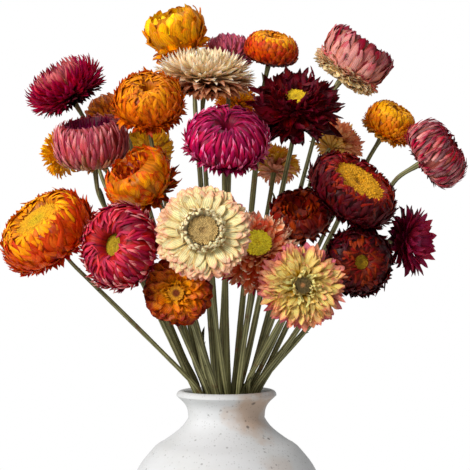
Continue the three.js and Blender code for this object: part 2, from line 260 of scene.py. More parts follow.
# Each head's shape, its number of bracts and its colours: a bract's foot, body and tip, the lowest whorls,
# the whorls round the disc, the disc and the disc's eye. What a head leaves out is as in DaisyHead.
HEADS = {
    "crimson_top_left": dict(
        shape="tuft", bracts=380, tip_shape=2.2, outer_reach=0.3, roll=0.7, contrast=0.42,
        foot="e08ca0", body="bc3056", tip="a43c54", outer="30060f",
        inner="d07c84", disc="c8a070", eye="b08040"),
    "pink_left": dict(
        shape="cup", bracts=400, tip_shape=2.6, roughness=1.1, bract_width=0.58, inner_reach=0.36,
        roll=0.3, tip_start=0.74, bract_length=0.95, contrast=0.28, disc_seat=0.5,
        foot="e8b0a8", body="c2626c", tip="e0989e", outer="e8c090",
        inner="681c3a", disc="601028", eye="401018"),
    "yellow_left_rear": dict(
        shape="reflexed", bracts=150, tip_shape=3.0, roughness=1.4, roll=0.6,
        foot="ffd848", body="ffb81c", tip="f08c10", outer="f0a018",
        inner="ffc828", disc="d8a030", eye="a87020"),
    "orange_ball": dict(
        shape="skirted", bracts=500, tip_shape=2.6, bract_width=0.86, disc_share=0.1, inner_reach=0.3,
        roll=0.3, bract_length=0.72, contrast=0.16, roughness=1.9,
        foot="f48c10", body="ec780a", tip="d0540a", outer="b8480a",
        inner="ee8c14", disc="5a1c06", eye="2c1006"),
    "amber_rear_left": dict(
        shape="ball", bracts=170, tip_shape=2.4, roughness=1.6, bract_width=1.3,
        foot="f89c20", body="f07c10", tip="c4500c", outer="8c300a",
        inner="e88a1c", disc="6a2a10", eye="401808"),
    "yellow_top": dict(
        shape="rose", bracts=130, tip_shape=5.5, ruffle=0.07, roughness=1.9, roll=0.6, bract_length=0.95,
        inner_reach=0.3, contrast=0.2,
        foot="fcb818", body="faa814", tip="f08008", outer="f08c10",
        inner="ffc410", disc="d08018", eye="a05810"),
    "cream_top": dict(
        shape="brush", bracts=400, tip_shape=2.0, outer_reach=0.46, roll=0.55, bract_width=1.3,
        spread=1.05,
        foot="e4ac8c", body="fce8c6", tip="fffaec", outer="dca484",
        inner="fcecca", disc="e0c080", eye="b89050"),
    "plum_top_rear": dict(
        shape="ball", bracts=170, tip_shape=2.0,
        foot="e0a0a8", body="c86c80", tip="702848", outer="401028",
        inner="b05888", disc="8a3058", eye="401028"),
    "orange_top": dict(
        shape="button", bracts=420, tip_shape=3.0, bract_width=1.5, roughness=0.5, inner_reach=0.3,
        outer_reach=0.42, disc_share=0.16, roll=0.3, bract_length=0.46, contrast=0.1,
        foot="d8540a", body="d64808", tip="b82e08", outer="5c140c",
        inner="fca014", disc="b84a10", eye="702408"),
    "orange_rear": dict(
        shape="open", bracts=170, tip_shape=3.0, roughness=1.5, disc_seat=0.7, roll=0.6,
        foot="ffc040", body="ffa428", tip="fa8818", outer="d05a10",
        inner="ffb828", disc="e0a020", eye="b07018"),
    "magenta_mid": dict(
        shape="skirted", bracts=380, tip_shape=2.2, bract_width=0.75, roughness=1.1, outer_reach=0.3,
        disc_share=0.1, roll=0.5, contrast=0.42, bract_length=0.95,
        # The pale pink tip colour is partly the bracts' own and partly painted highlight, for the glints
        # along them.
        foot="900f3c", body="b81c50", tip="f090b8", outer="7c1c3c",
        inner="a01c50", disc="3c0c18", eye="280810"),
    "maroon_top": dict(
        shape="open", bracts=260, tip_shape=3.2, bract_width=1.05, roughness=2.8, disc_share=0.19,
        disc_seat=0.7, ruffle=0.04, inner_reach=0.16, spread=1.09,
        foot="740c1a", body="5c0816", tip="34050c", outer="30040c",
        inner="60081e", disc="d8b418", eye="b08c14"),
    "pink_top_right": dict(
        shape="tall", bracts=440, tip_shape=4.4, roughness=1.1, outer_reach=0.4, inner_reach=0.34,
        roll=0.3, ruffle=0.07, bract_width=1.05, bract_length=1.3, contrast=0.34, tip_start=0.84,
        foot="f6d2be", body="e6a69e", tip="d07884", outer="fce6bc",
        inner="7c1c34", disc="701828", eye="501018"),
    "blush_rear": dict(
        shape="open", bracts=160, tip_shape=3.0, roughness=1.4, roll=0.6,
        foot="f0cc90", body="f0a888", tip="cc7c68", outer="d0a060",
        inner="ecc480", disc="c89848", eye="986830"),
    "orange_right": dict(
        shape="skirted", bracts=380, tip_shape=3.0, bract_width=1.35, roughness=0.7, inner_reach=0.4,
        disc_share=0.16, roll=0.3, bract_length=0.5, contrast=0.1,
        foot="f48c10", body="f88a0a", tip="f0780c", outer="e8b870",
        inner="fca812", disc="a85a10", eye="604010"),
    "crimson_right": dict(
        shape="ball", bracts=320, tip_shape=2.2, bract_width=0.85, roll=0.35, contrast=0.75,
        bract_length=0.9, tip_start=0.5, outer_reach=0.34,
        # The pale foot and body are partly the bracts' own colour and partly painted highlight, for the pale
        # streaks along them.
        foot="f0c0b8", body="dc9a9a", tip="8c2440", outer="5c1020",
        inner="9c2c40", disc="d07828", eye="a04020"),
    "maroon_right": dict(
        shape="incurved", bracts=540, tip_shape=1.9, bract_width=1.05, disc_share=0.6, disc_seat=0.76,
        disc_dimple=0.2, inner_reach=0.24, eye_start=0.74, roll=0.5, over_disc=0.06, roughness=1.7,
        bract_length=0.5, depth_share=0.82,
        foot="7c0c10", body="540812", tip="30050c", outer="28050a",
        inner="981810", disc="e0a00c", eye="844410"),
    "wine_low_right": dict(
        shape="star", bracts=110, tip_shape=2.2, inner_reach=0.5, roughness=1.2, bract_width=1.2,
        roll=0.6,
        foot="b04060", body="78183a", tip="44081c", outer="2c0418",
        inner="b84c68", disc="9c3860", eye="601030"),
    "maroon_low": dict(
        shape="incurved", bracts=480, tip_shape=1.8, inner_reach=0.24, disc_share=0.22, disc_seat=0.62,
        roll=0.35, over_disc=0.04, bract_length=0.5, contrast=0.2, roughness=1.7,
        foot="681210", body="480812", tip="30050d", outer="2c050c",
        inner="8c2410", disc="c8a020", eye="a07818"),
    "rust_mid": dict(
        shape="rose", bracts=160, tip_shape=3.5, bract_width=0.7, roughness=2.0, ruffle=0.03, roll=0.7,
        bract_length=1.0, contrast=0.6, spread=1.06,
        foot="a83818", body="902812", tip="480a08", outer="5c120c",
        inner="8c2810", disc="702010", eye="401008"),
    "cream_low": dict(
        shape="layered", bracts=290, tip_shape=4.0, bract_width=0.82, roughness=2.1, disc_share=0.18,
        outer_reach=0.36, tip_start=0.8, disc_seat=0.7, roll=0.25, ruffle=0.05, contrast=0.08,
        spread=1.05,
        foot="d8ac50", body="ecd28a", tip="eca088", outer="d47c84",
        inner="eee2a0", disc="5c4c28", eye="b07848"),
    "salmon_mid": dict(
        shape="curled", bracts=330, tip_shape=2.8, roughness=1.6, disc_share=0.3, disc_seat=0.9,
        tip_start=0.6, roll=0.9, over_disc=0.02, contrast=0.24, bract_length=0.8, inner_reach=0.2,
        disc_dimple=0.05, spread=1.04, outer_reach=0.3,
        foot="e8604c", body="f08468", tip="fcdcc0", outer="a01838",
        inner="f4a888", disc="ffec34", eye="ffe428"),
    "cream_mid": dict(
        shape="flat", bracts=300, tip_shape=5.0, ruffle=0.03, roughness=0.8, disc_share=0.28,
        disc_dimple=0.25, outer_reach=0.24, tip_start=0.88, disc_seat=0.62, inner_reach=0.32, roll=0.12,
        contrast=0.06, bract_width=1.1,
        foot="e8d09c", body="ecdcaa", tip="ecb8a0", outer="dc8c90",
        inner="ece0b8", disc="b89a60", eye="a48450"),
    "magenta_left": dict(
        shape="incurved", bracts=380, tip_shape=2.2, bract_width=0.85, disc_share=0.29, disc_seat=0.54,
        roll=0.7, over_disc=0.04, contrast=0.38, roughness=1.5,
        # The pale pink tip colour is partly the bracts' own and partly painted highlight, for the shine along
        # their edges.
        foot="d86c74", body="b84454", tip="eca4a8", outer="600c20",
        inner="cc5868", disc="a88c10", eye="a08410"),
    "orange_left": dict(
        shape="incurved", bracts=540, tip_shape=2.0, bract_width=1.05, disc_share=0.46, inner_reach=0.3,
        disc_seat=0.8, roll=0.35, eye_start=0.4, over_disc=0.02, bract_length=0.5, roughness=1.6,
        contrast=0.2, spread=1.03,
        foot="f0640a", body="e4540a", tip="c42c08", outer="c42808",
        inner="fca010", disc="d29804", eye="c09c08"),
    "orange_cup": dict(
        shape="rose", bracts=200, tip_shape=3.0, bract_width=0.7, inner_reach=0.12, outer_reach=0.3,
        roll=0.5, roughness=2.1, contrast=0.16, ruffle=0.05, disc_seat=0.74, disc_share=0.16,
        tip_start=0.68,
        foot="fdb42e", body="fea020", tip="e0440a", outer="8c300c",
        inner="b83814", disc="5c1014", eye="30080c"),
    "copper_low": dict(
        shape="layered", bracts=120, tip_shape=5.0, bract_width=1.7, ruffle=0.1, tip_start=0.68,
        roughness=1.2, disc_seat=0.72, roll=0.5, contrast=0.26, eye_start=0.3,
        foot="f09c1c", body="ea7c12", tip="8c1c0c", outer="5c140a",
        inner="f09820", disc="dc981c", eye="7c3408"),
    "yellow_rear": dict(
        shape="ball", bracts=140, tip_shape=3.0, roughness=1.6, roll=0.6, bract_width=1.4,
        foot="ffc028", body="f4ac14", tip="d8800c", outer="e8a020",
        inner="f8b830", disc="c89030", eye="805818"),
    "gold_rear": dict(
        shape="reflexed", bracts=160, tip_shape=2.2, roughness=1.3, roll=0.6,
        foot="f8d878", body="eec068", tip="d89870", outer="cc8870",
        inner="f0c868", disc="c89c48", eye="987030"),
}


def linear(code):
    """A colour given as six hex digits, as three linear values."""
    values = [int(code[i:i + 2], 16) / 255 for i in (0, 2, 4)]
    return tuple(v / 12.92 if v <= 0.04045 else ((v + 0.055) / 1.055) ** 2.4 for v in values)


def colour_property(label, what, code):
    return FloatVectorProperty(name=label, description=what, subtype="COLOR", size=3, min=0, max=1,
                               default=linear(code))


def slider(label, what, default, low=0, high=1):
    return FloatProperty(name=label, description=what, default=default, min=low, max=high, subtype="FACTOR")


def length_property(label, what, default, low, high):
    """A length, with its default and limits given in millimetres."""
    return FloatProperty(name=label, description=what, default=default * MM, min=low * MM, max=high * MM,
                         unit="LENGTH")


class DaisyHead(bpy.types.PropertyGroup):
    node: StringProperty(name="Head", description="The head's name, without its last word")
    shape: EnumProperty(name="Shape", description="How the bracts stand",
                        items=[(key, key.title(), f"Bracts that stand {key}") for key in SHAPES])
    bracts: IntProperty(name="Bracts", description="Number of papery bracts", default=180, min=20, max=600)
    foot: colour_property("Foot", "Colour of a bract where it leaves the head", "e0a060")
    body: colour_property("Body", "Colour of the middle of a bract", "c06030")
    tip: colour_property("Tip", "Colour of a bract's tip", "802020")
    outer: colour_property("Outer", "Colour of the lowest whorls", "401010")
    inner: colour_property("Inner", "Colour of the whorls round the disc", "c08030")
    disc: colour_property("Disc", "Colour of the disc florets", "d0a030")
    eye: colour_property("Eye", "Colour of the middle of the disc", "a07020")
    disc_seat: slider("Disc seat", "How high the disc sits in the head", 0.58, 0.1)
    eye_start: slider("Eye start", "Where on the way to its middle the disc's eye begins", 0.55)
    disc_share: slider("Disc", "The disc's radius as a share of the head's", 0.20, 0.05, 0.6)
    tip_start: slider("Tip start", "Where along a bract its tip colour begins", 0.86)
    tip_shape: slider("Tip shape", "Low is a pointed tip, high a round one", 1.7, 1, 8)
    bract_width: slider("Bract width", "Width of the bracts beside their shape's", 1.0, 0.3, 4)
    bract_length: slider("Bract length", "Length of a closed head's bracts beside its radius", 0.85, 0.2, 2)
    depth_share: slider("Depth", "Depth of the head beside the packed one's", 1.0, 0.5, 1.1)
    spread: slider("Spread", "Radius of the head beside the packed one's", 1.0, 0.8, 1.1)
    contrast: slider("Contrast", "How much lighter or darker single bracts are", 0.14)
    roll: FloatProperty(name="Roll", description="How far a bract's edges roll up", default=0.8,
                        min=0, max=math.pi, subtype="ANGLE")
    over_disc: slider("Over the disc", "How far the innermost tips reach over the disc", -0.03, -0.5, 0.5)
    roughness: slider("Untidiness", "How unevenly the bracts stand", 1.0, 0, 4)
    ruffle: slider("Ruffle", "Height of the edge's waves beside the radius", 0.012, 0, 0.1)
    disc_dimple: slider("Dimple", "Depth of the disc's dimple beside its radius", 0.10)
    outer_reach: slider("Outer reach", "Share of whorls with the outer colour", 0.26)
    inner_reach: slider("Inner reach", "Share of whorls with the inner colour", 0.22)


class StemSettings(bpy.types.PropertyGroup):
    thickness: length_property("Thickness", "Diameter of a stem below its neck", 3.0, 1, 8)
    neck: length_property("Neck", "Diameter where the stem widens into the head", 4.2, 1, 12)
    ribs: IntProperty(name="Ribs", description="Number of ribs along a stem", default=6, min=3, max=12)
    pale: colour_property("Pale", "Colour of the dry raised ribs", "c0bc84")
    dark: colour_property("Dark", "Colour of the grooves and the older stems", "4c4a22")
    brown: colour_property("Brown", "Colour of scars and browned stretches", "6e4826")


class VaseSettings(bpy.types.PropertyGroup):
    segments: IntProperty(name="Segments", description="Sides round the vase", default=160, min=24, max=256)
    ripple: length_property("Ripple", "Height of the throwing rings", 0.10, 0, 1)
    lip: length_property("Lip", "Thickness of the round lip", 5.6, 2, 10)
    glaze: colour_property("Glaze", "Colour of the matt glaze", "cdcfd1")
    shade: colour_property("Shade", "Colour where the glaze lies thin", "c1c3c1")
    speck: colour_property("Speck", "Colour of the fine specks", "4c4640")
    blush: colour_property("Blush", "Colour of the warm patches", "b89c84")
    clay: colour_property("Clay", "Colour of the bare foot ring", "b7a48c")


class StageSettings(bpy.types.PropertyGroup):
    camera: FloatVectorProperty(name="Camera", description="Where the camera stands", unit="LENGTH",
                                default=(0.0047, -1.0, 0.222), subtype="TRANSLATION")
    aim_height: FloatProperty(name="Aim", description="Height of the point that the camera looks at",
                              default=0.2074, unit="LENGTH")
    view_width: FloatProperty(name="View width", description="Width of the view at the vase's axis",
                              default=0.2585, min=0.01, unit="LENGTH")
    floor: colour_property("Floor", "Colour of the floor", "f2f1ee")
    key_power: FloatProperty(name="Key light", description="Power of the large soft light at the left",
                             default=19, min=0, unit="POWER")
    fill_power: FloatProperty(name="Fill light", description="Power of the soft light from above",
                              default=3.5, min=0, unit="POWER")
    sky: FloatProperty(name="Room light", description="Strength of the white room", default=0.42, min=0)


class BouquetSettings(bpy.types.PropertyGroup):
    heads: CollectionProperty(type=DaisyHead)
    stem: PointerProperty(type=StemSettings)
    vase: PointerProperty(type=VaseSettings)
    stage: PointerProperty(type=StageSettings)


def head_rows(scene):
    """The settings of every head, filled from HEADS the first time they are asked for."""
    rows = scene.bouquet.heads
    if not rows:
        for name, looks in HEADS.items():
            row = rows.add()
            row.node = name
            for key, value in looks.items():
                is_colour = isinstance(value, str) and key != "shape"
                setattr(row, key, linear(value) if is_colour else value)
    return rows


# Mesh building

class Pile:
    """Gathers closed shells with a few values at each point and turns them into one mesh object."""

    def __init__(self):
        self.points = []
        self.values = []
        self.corners = []
        self.sides = []
        self.slots = []
        self.count = 0

    def add(self, points, faces, values, slot=0):
        """Points are (n, 3), faces a list of arrays with 3 or 4 columns, and values (n, 4)."""
        for block in faces:
            self.corners.append((block + self.count).ravel())
            self.sides.append(np.full(len(block), block.shape[1]))
            self.slots.append(np.full(len(block), slot))
        self.points.append(points)
        self.values.append(values)
        self.count += len(points)

    def turn_to(self, origin, directions):
        """Takes the points from an own frame into the scene's."""
        self.points = [origin + points @ directions for points in self.points]

    def build(self, name, materials, sharp_angle):
        mesh = bpy.data.meshes.new(name)
        points = np.concatenate(self.points)
        corners = np.concatenate(self.corners)
        sides = np.concatenate(self.sides)
        mesh.vertices.add(len(points))
        mesh.vertices.foreach_set("co", points.astype(np.float32).ravel())
        mesh.loops.add(len(corners))
        mesh.loops.foreach_set("vertex_index", corners.astype(np.int32))
        mesh.polygons.add(len(sides))
        starts = np.concatenate([[0], np.cumsum(sides)[:-1]])
        mesh.polygons.foreach_set("loop_start", starts.astype(np.int32))
        mesh.polygons.foreach_set("material_index", np.concatenate(self.slots).astype(np.int32))
        values = np.concatenate(self.values).astype(np.float32)
        for column, label in enumerate(VALUE_NAMES):
            attribute = mesh.attributes.new(label, "FLOAT", "POINT")
            attribute.data.foreach_set("value", np.ascontiguousarray(values[:, column]))
        for material in materials:
            mesh.materials.append(material)
        mesh.update(calc_edges=True)
        mesh.shade_smooth()
        mesh.set_sharp_from_angle(angle=math.radians(sharp_angle))
        piece = bpy.data.objects.new(name, mesh)
        bpy.context.scene.collection.objects.link(piece)
        return piece


def unit(vectors):
    """The same directions at length 1."""
    return vectors / np.linalg.norm(vectors, axis=-1, keepdims=True)


def circle(angles):
    """Points of the unit circle at these angles."""
    return np.stack([np.cos(angles), np.sin(angles)], -1)


def full_turn(steps):
    return np.arange(steps) * math.tau / steps


def lengths_along(line):
    """How far along the line each of its points is."""
    return np.concatenate([[0], np.cumsum(np.linalg.norm(np.diff(line, axis=0), axis=1))])


def ring_quads(rings, steps):
    """The quads between rings of points that follow one another."""
    i, j = np.meshgrid(np.arange(rings - 1), np.arange(steps), indexing="ij")
    after = (j + 1) % steps
    corners = [i * steps + j, i * steps + after, (i + 1) * steps + after, (i + 1) * steps + j]
    return np.stack(corners, -1).reshape(-1, 4)


def fan(first, steps, centre):
    """The triangles that close a ring of points from its first one on, about a centre point."""
    j = np.arange(steps)
    return np.stack([first + j, first + (j + 1) % steps, np.full(steps, centre)], -1)


def tube_faces(rings, steps):
    """A closed tube's faces; the middle points of its two ends come after the rings."""
    low = fan(0, steps, rings * steps)[:, [1, 0, 2]]
    high = fan((rings - 1) * steps, steps, rings * steps + 1)
    return [ring_quads(rings, steps), low, high]


def ring_points(radii, steps):
    """Rings of points about the axis, one after another."""
    return (circle(full_turn(steps))[None] * radii[:, None, None]).reshape(-1, 2)


def lathe(outline, steps):
    """A ring for each radius and height of the outline, closed by a point on the axis at each end."""
    radii, heights = outline[:, 0], outline[:, 1]
    levels = np.concatenate([np.repeat(heights, steps), [heights[0], heights[-1]]])
    points = np.column_stack([np.concatenate([ring_points(radii, steps), np.zeros((2, 2))]), levels])
    return points, tube_faces(len(radii), steps)


def sheet_faces(rows, columns):
    """Faces of one closed sheet: an upper and a lower skin that share their border and one tip point."""
    tip = rows * columns

    def upper(i, j):
        return i * columns + j

    def lower(i, j):
        if i == 0 or j in (0, columns - 1):
            return upper(i, j)
        return tip + 1 + (i - 1) * (columns - 2) + (j - 1)

    quads = []
    for i in range(rows - 1):
        for j in range(columns - 1):
            ring = [(i, j), (i + 1, j), (i + 1, j + 1), (i, j + 1)]
            quads.append([upper(*p) for p in ring])
            quads.append([lower(*p) for p in reversed(ring)])
    triangles = []
    for j in range(columns - 1):
        last = rows - 1
        triangles.append([upper(last, j), tip, upper(last, j + 1)])
        triangles.append([lower(last, j + 1), tip, lower(last, j)])
    return np.array(quads), np.array(triangles)


def repeat_faces(faces, copies, points_each):
    """The same faces for several copies of a shell whose points follow one another."""
    shift = (np.arange(copies) * points_each)[:, None, None]
    return [(block[None] + shift).reshape(-1, block.shape[1]) for block in faces]


def rolled_up(half, roll, across):
    """How far a sheet's points lie to the side and up when its edges roll up on an arc."""
    angle = roll * across
    return half * np.sin(angle) / roll, half * (1 - np.cos(angle)) / roll


def smooth_line(points, spacing):
    """A Catmull-Rom curve through the points, with stations about that far apart."""
    p = np.concatenate([[2 * points[0] - points[1]], points, [2 * points[-1] - points[-2]]])
    fine = []
    for k in range(1, len(p) - 2):
        steps = max(1, round(np.linalg.norm(p[k + 1] - p[k]) / spacing))
        for t in np.arange(steps) / steps:
            fine.append(0.5 * (
                2 * p[k] + (p[k + 1] - p[k - 1]) * t
                + (2 * p[k - 1] - 5 * p[k] + 4 * p[k + 1] - p[k + 2]) * t * t
                + (3 * p[k] - p[k - 1] - 3 * p[k + 1] + p[k + 2]) * t ** 3
            ))
    fine.append(p[-2])
    return np.array(fine)


# Reading the frame

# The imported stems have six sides; doubles agree to this many decimals of a metre, and points this near to a
# plane or axis are on it.
STEM_SIDES = 6
SAME_DECIMALS = 6
ON_PLANE = 1e-5


def merged(node):
    """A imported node's points without doubles, and for each the points that its edges lead to."""
    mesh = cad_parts[node].data
    points = np.zeros(len(mesh.vertices) * 3, np.float32)
    mesh.vertices.foreach_get("co", points)
    points = points.reshape(-1, 3).astype(float)
    rounded = np.round(points, SAME_DECIMALS)
    _, first, index = np.unique(rounded, axis=0, return_index=True, return_inverse=True)
    pairs = np.zeros(len(mesh.edges) * 2, np.int32)
    mesh.edges.foreach_get("vertices", pairs)
    near = [set() for _ in first]
    for a, b in index.ravel()[pairs.reshape(-1, 2)]:
        if a != b:
            near[a].add(b)
            near[b].add(a)
    return points[first], near


def stem_line(name, foot):
    """The middle line of a stem from the head's foot down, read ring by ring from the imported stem."""
    points, near = merged(f"{name}_stem")
    ring = set(np.argsort(np.linalg.norm(points - foot, axis=1))[:STEM_SIDES].tolist())
    seen = set()
    line = []
    while ring:
        line.append(points[list(ring)].mean(axis=0))
        seen |= ring
        ring = set().union(*(near[k] for k in ring)) - seen
    return np.array(line)


def head_frame(name):
    """A head's foot, its three own directions with the axis last, its radius and its height."""
    points, _ = merged(f"{name}_head")
    stem, _ = merged(f"{name}_stem")
    # The foot is the head's point nearest to the stem, and the middle of the head's rings is on its axis.
    centre = points.mean(axis=0)
    top = stem[np.argsort(np.linalg.norm(stem - centre, axis=1))[:STEM_SIDES]].mean(axis=0)
    foot = points[np.argmin(np.linalg.norm(points - top, axis=1))]
    axis = unit(centre - foot)
    side = unit(np.cross([0, 0, 1], axis))
    up = np.cross(axis, side)
    rise = (points - foot) @ axis
    out = np.linalg.norm(points - foot - rise[:, None] * axis, axis=1)
    return foot, np.stack([side, up, axis]), out.max(), rise.max()


def vase_outline():
    """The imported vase's closed outline in one half plane, as radius and height, from the foot's centre."""
    points, near = merged("vase")
    flat = {k for k, p in enumerate(points) if abs(p[1]) < ON_PLANE and p[0] > -ON_PLANE}
    path = [min(flat, key=lambda k: points[k][0] + points[k][2])]
    while True:
        onward = [k for k in near[path[-1]] & flat if k not in path]
        if not onward:
            break
        # From the foot's centre the outline runs out along the underside first.
        path.append(max(onward, key=lambda k: points[k][0]) if len(path) == 1 else onward[0])
    return np.array([(points[k][0], points[k][2]) for k in path])


# Flower heads

BRACT_STATIONS = np.array([0.0, 0.38, 0.66, 0.86, 0.96, 1.0])
BRACT_COLUMNS = 5
BRACT_SKIN = 0.20 * MM
# The least and the most that a bract's edges roll up, and how much wave runs along a dry edge, in radians.
ROLL_RANGE = (0.1, 2.4)
EDGE_WAVE = 10
FLORET_SIDES = 5
# The disc's dome and the reach of its dimple, as shares of the disc's radius.
DISC_DOME = 0.16
DIMPLE_REACH = 0.30
CORE_STEPS = 48
OUTLINE_POINTS = 24
# Half the width of a closed head's foot and of an open head's receptacle, as shares of the radius.
FOOT_SHARE = 0.14
WAIST_SHARE = 0.22

# How far single bracts stray from their whorl. Lift and bend are in degrees, azimuth and twist in radians,
# and the rest are shares of the head's size or of the bract's own width, roll or length.
STRAY = dict(azimuth=0.07, lift=5, bend=9, width=0.12, out=0.030, up=0.022, roll=0.25, twist=0.22, sway=0.06,
             end=0.05, length=0.12, free=1)


def stray(rng, what, count, times=1.0):
    """One random number for each bract."""
    return rng.normal(0, STRAY[what] * times, count)


def bract_outline(stations, tip_shape):
    """Half width along a bract as a share of its greatest, from a narrow foot to the tip."""
    widest = 0.60
    foot_width = 0.45
    grow = foot_width + (1 - foot_width) * np.sin(np.minimum(stations / widest, 1) * math.pi / 2)
    close = 1 - np.clip((stations - widest) / (1 - widest), 0, 1) ** tip_shape
    return grow * close


def whorls(head):
    """The shape's rows for this head: the whorls above the widest one stop at the disc's edge."""
    rows = np.array(SHAPES[head.shape], float)
    widest = int(np.argmax(rows[:, 0]))
    innermost = rows[-1, 0]
    edge = head.disc_share - head.over_disc
    upper = rows[widest:, 0]
    rows[widest:, 0] = 1 - (1 - upper) * (1 - edge) / (1 - innermost)
    # Round a wide disc the innermost bracts are as much wider.
    rows[widest:, 4] *= np.maximum(rows[widest:, 0] / upper, 1)
    return rows


def bezier(points, share):
    """Points and directions on cubic curves; points is (n, 4, 2) and share (k,)."""
    s = share[None, :, None]
    a, b, c, d = (points[:, None, k] for k in range(4))
    place = a * (1 - s) ** 3 + 3 * b * s * (1 - s) ** 2 + 3 * c * s ** 2 * (1 - s) + d * s ** 3
    ahead = (b - a) * (1 - s) ** 2 + 2 * (c - b) * s * (1 - s) + (d - c) * s ** 2
    return place, unit(ahead)


def closed_outline(head, radius, height):
    """A closed head's outline in one half plane, the length along it, and the whorls that end on it."""
    rows = whorls(head)
    level = np.linspace(0, 1, len(rows))
    on = rows[:, 3] > LEANING
    if head.shape in CUPPED:
        on &= np.arange(len(rows)) <= np.argmax(rows[:, 1])
    tips = rows[on, :2]
    low = [(FOOT_SHARE, 0.0), (0.74 * tips[0, 0], 0.30 * tips[0, 1])]
    nodes = np.concatenate([low, tips]) * (radius, height)
    line = smooth_line(np.column_stack([nodes[:, 0], 0 * nodes[:, 0], nodes[:, 1]]), 0.03 * radius)[:, ::2]
    arc = lengths_along(line)
    ends = [arc[np.argmin(np.linalg.norm(line - node, axis=1))] for node in nodes[len(low):]]
    return line, arc, level[on], np.array(ends)


def on_outline(line, arc, lengths, inward):
    """Places and directions at lengths along an outline, moved in from it."""
    lengths = np.clip(lengths, 0, arc[-1])
    step = arc[-1] * 0.01
    here, before, after = (np.stack([np.interp(lengths + move, arc, line[:, k]) for k in (0, 1)], -1)
                           for move in (0, -step, step))
    ahead = unit(after - before)
    normal = np.stack([-ahead[..., 1], ahead[..., 0]], -1)
    return here + normal * inward[..., None], ahead


def laid_bracts(rng, head, radius, height, rank):
    """For a closed head: which bracts lie along its outline, and their places and directions on it."""
    count = len(rank)
    rough = head.roughness
    line, arc, level_on, ends = closed_outline(head, radius, height)
    on = (rank >= level_on[0]) & (rank <= level_on[-1])
    end = np.interp(rank, level_on, ends) + stray(rng, "end", count, rough) * radius
    long = head.bract_length * radius * (1.15 - 0.40 * rank) * (1 + stray(rng, "length", count))
    # Lower bracts are longer. Each is tucked under its neighbours at the foot, and its tip stands free.
    free = radius * (0.02 + 0.035 * rough * np.abs(stray(rng, "free", count))) * (1.25 - rank)
    back = 1 - BRACT_STATIONS
    inward = 0.11 * radius * back ** 1.3 - free[:, None] * BRACT_STATIONS ** 5
    places, headings = on_outline(line, arc, end[:, None] - long[:, None] * back, inward)
    return on, places, headings


def midribs(head, radius, height, rank, tips, lift, bend):
    """Each midrib as a curve in the plane through the head's axis, from the receptacle to its tip."""
    # The receptacle is a low cone: the lowest bracts leave it near the stem, the innermost at the disc.
    foot_out = np.interp(rank, (0, 0.5, 1), (0.12, 0.25, head.disc_share + 0.02)) * radius
    foot_up = np.interp(rank, (0, 0.4, 1), (0.10, 0.55, 1.0)) * head.disc_seat * height * 0.92
    feet = np.stack([foot_out, foot_up], -1)
    span = np.linalg.norm(tips - feet, axis=1)[:, None]
    # A bract that leans in runs along the outside of the head before its tip.
    hold = np.interp(np.degrees(bend), (40, 140), (0.40, 0.58))[:, None]
    leave = feet + 0.42 * span * circle(lift)
    arrive = tips - hold * span * circle(bend)
    return bezier(np.stack([feet, leave, arrive, tips], 1), BRACT_STATIONS)


def bract_values(rank, chance, across):
    """The four values at each point of all bracts, in the order of their points."""
    stations = BRACT_STATIONS[:-1]
    inner = across[1:-1]
    # The upper skin, then the tip, then the lower skin without the border that they share.
    along = [np.repeat(stations, len(across)), [1.0], np.repeat(stations[1:], len(inner))]
    sideways = [np.tile(across, len(stations)), [0.0], np.tile(inner, len(stations) - 1)]
    one = np.column_stack([np.concatenate(along), np.concatenate(sideways)])
    count = len(rank)
    return np.concatenate([
        np.broadcast_to(one, (count, *one.shape)),
        np.broadcast_to(rank[:, None, None], (count, len(one), 1)),
        np.broadcast_to(chance[:, None, None], (count, len(one), 1)),
    ], axis=2)


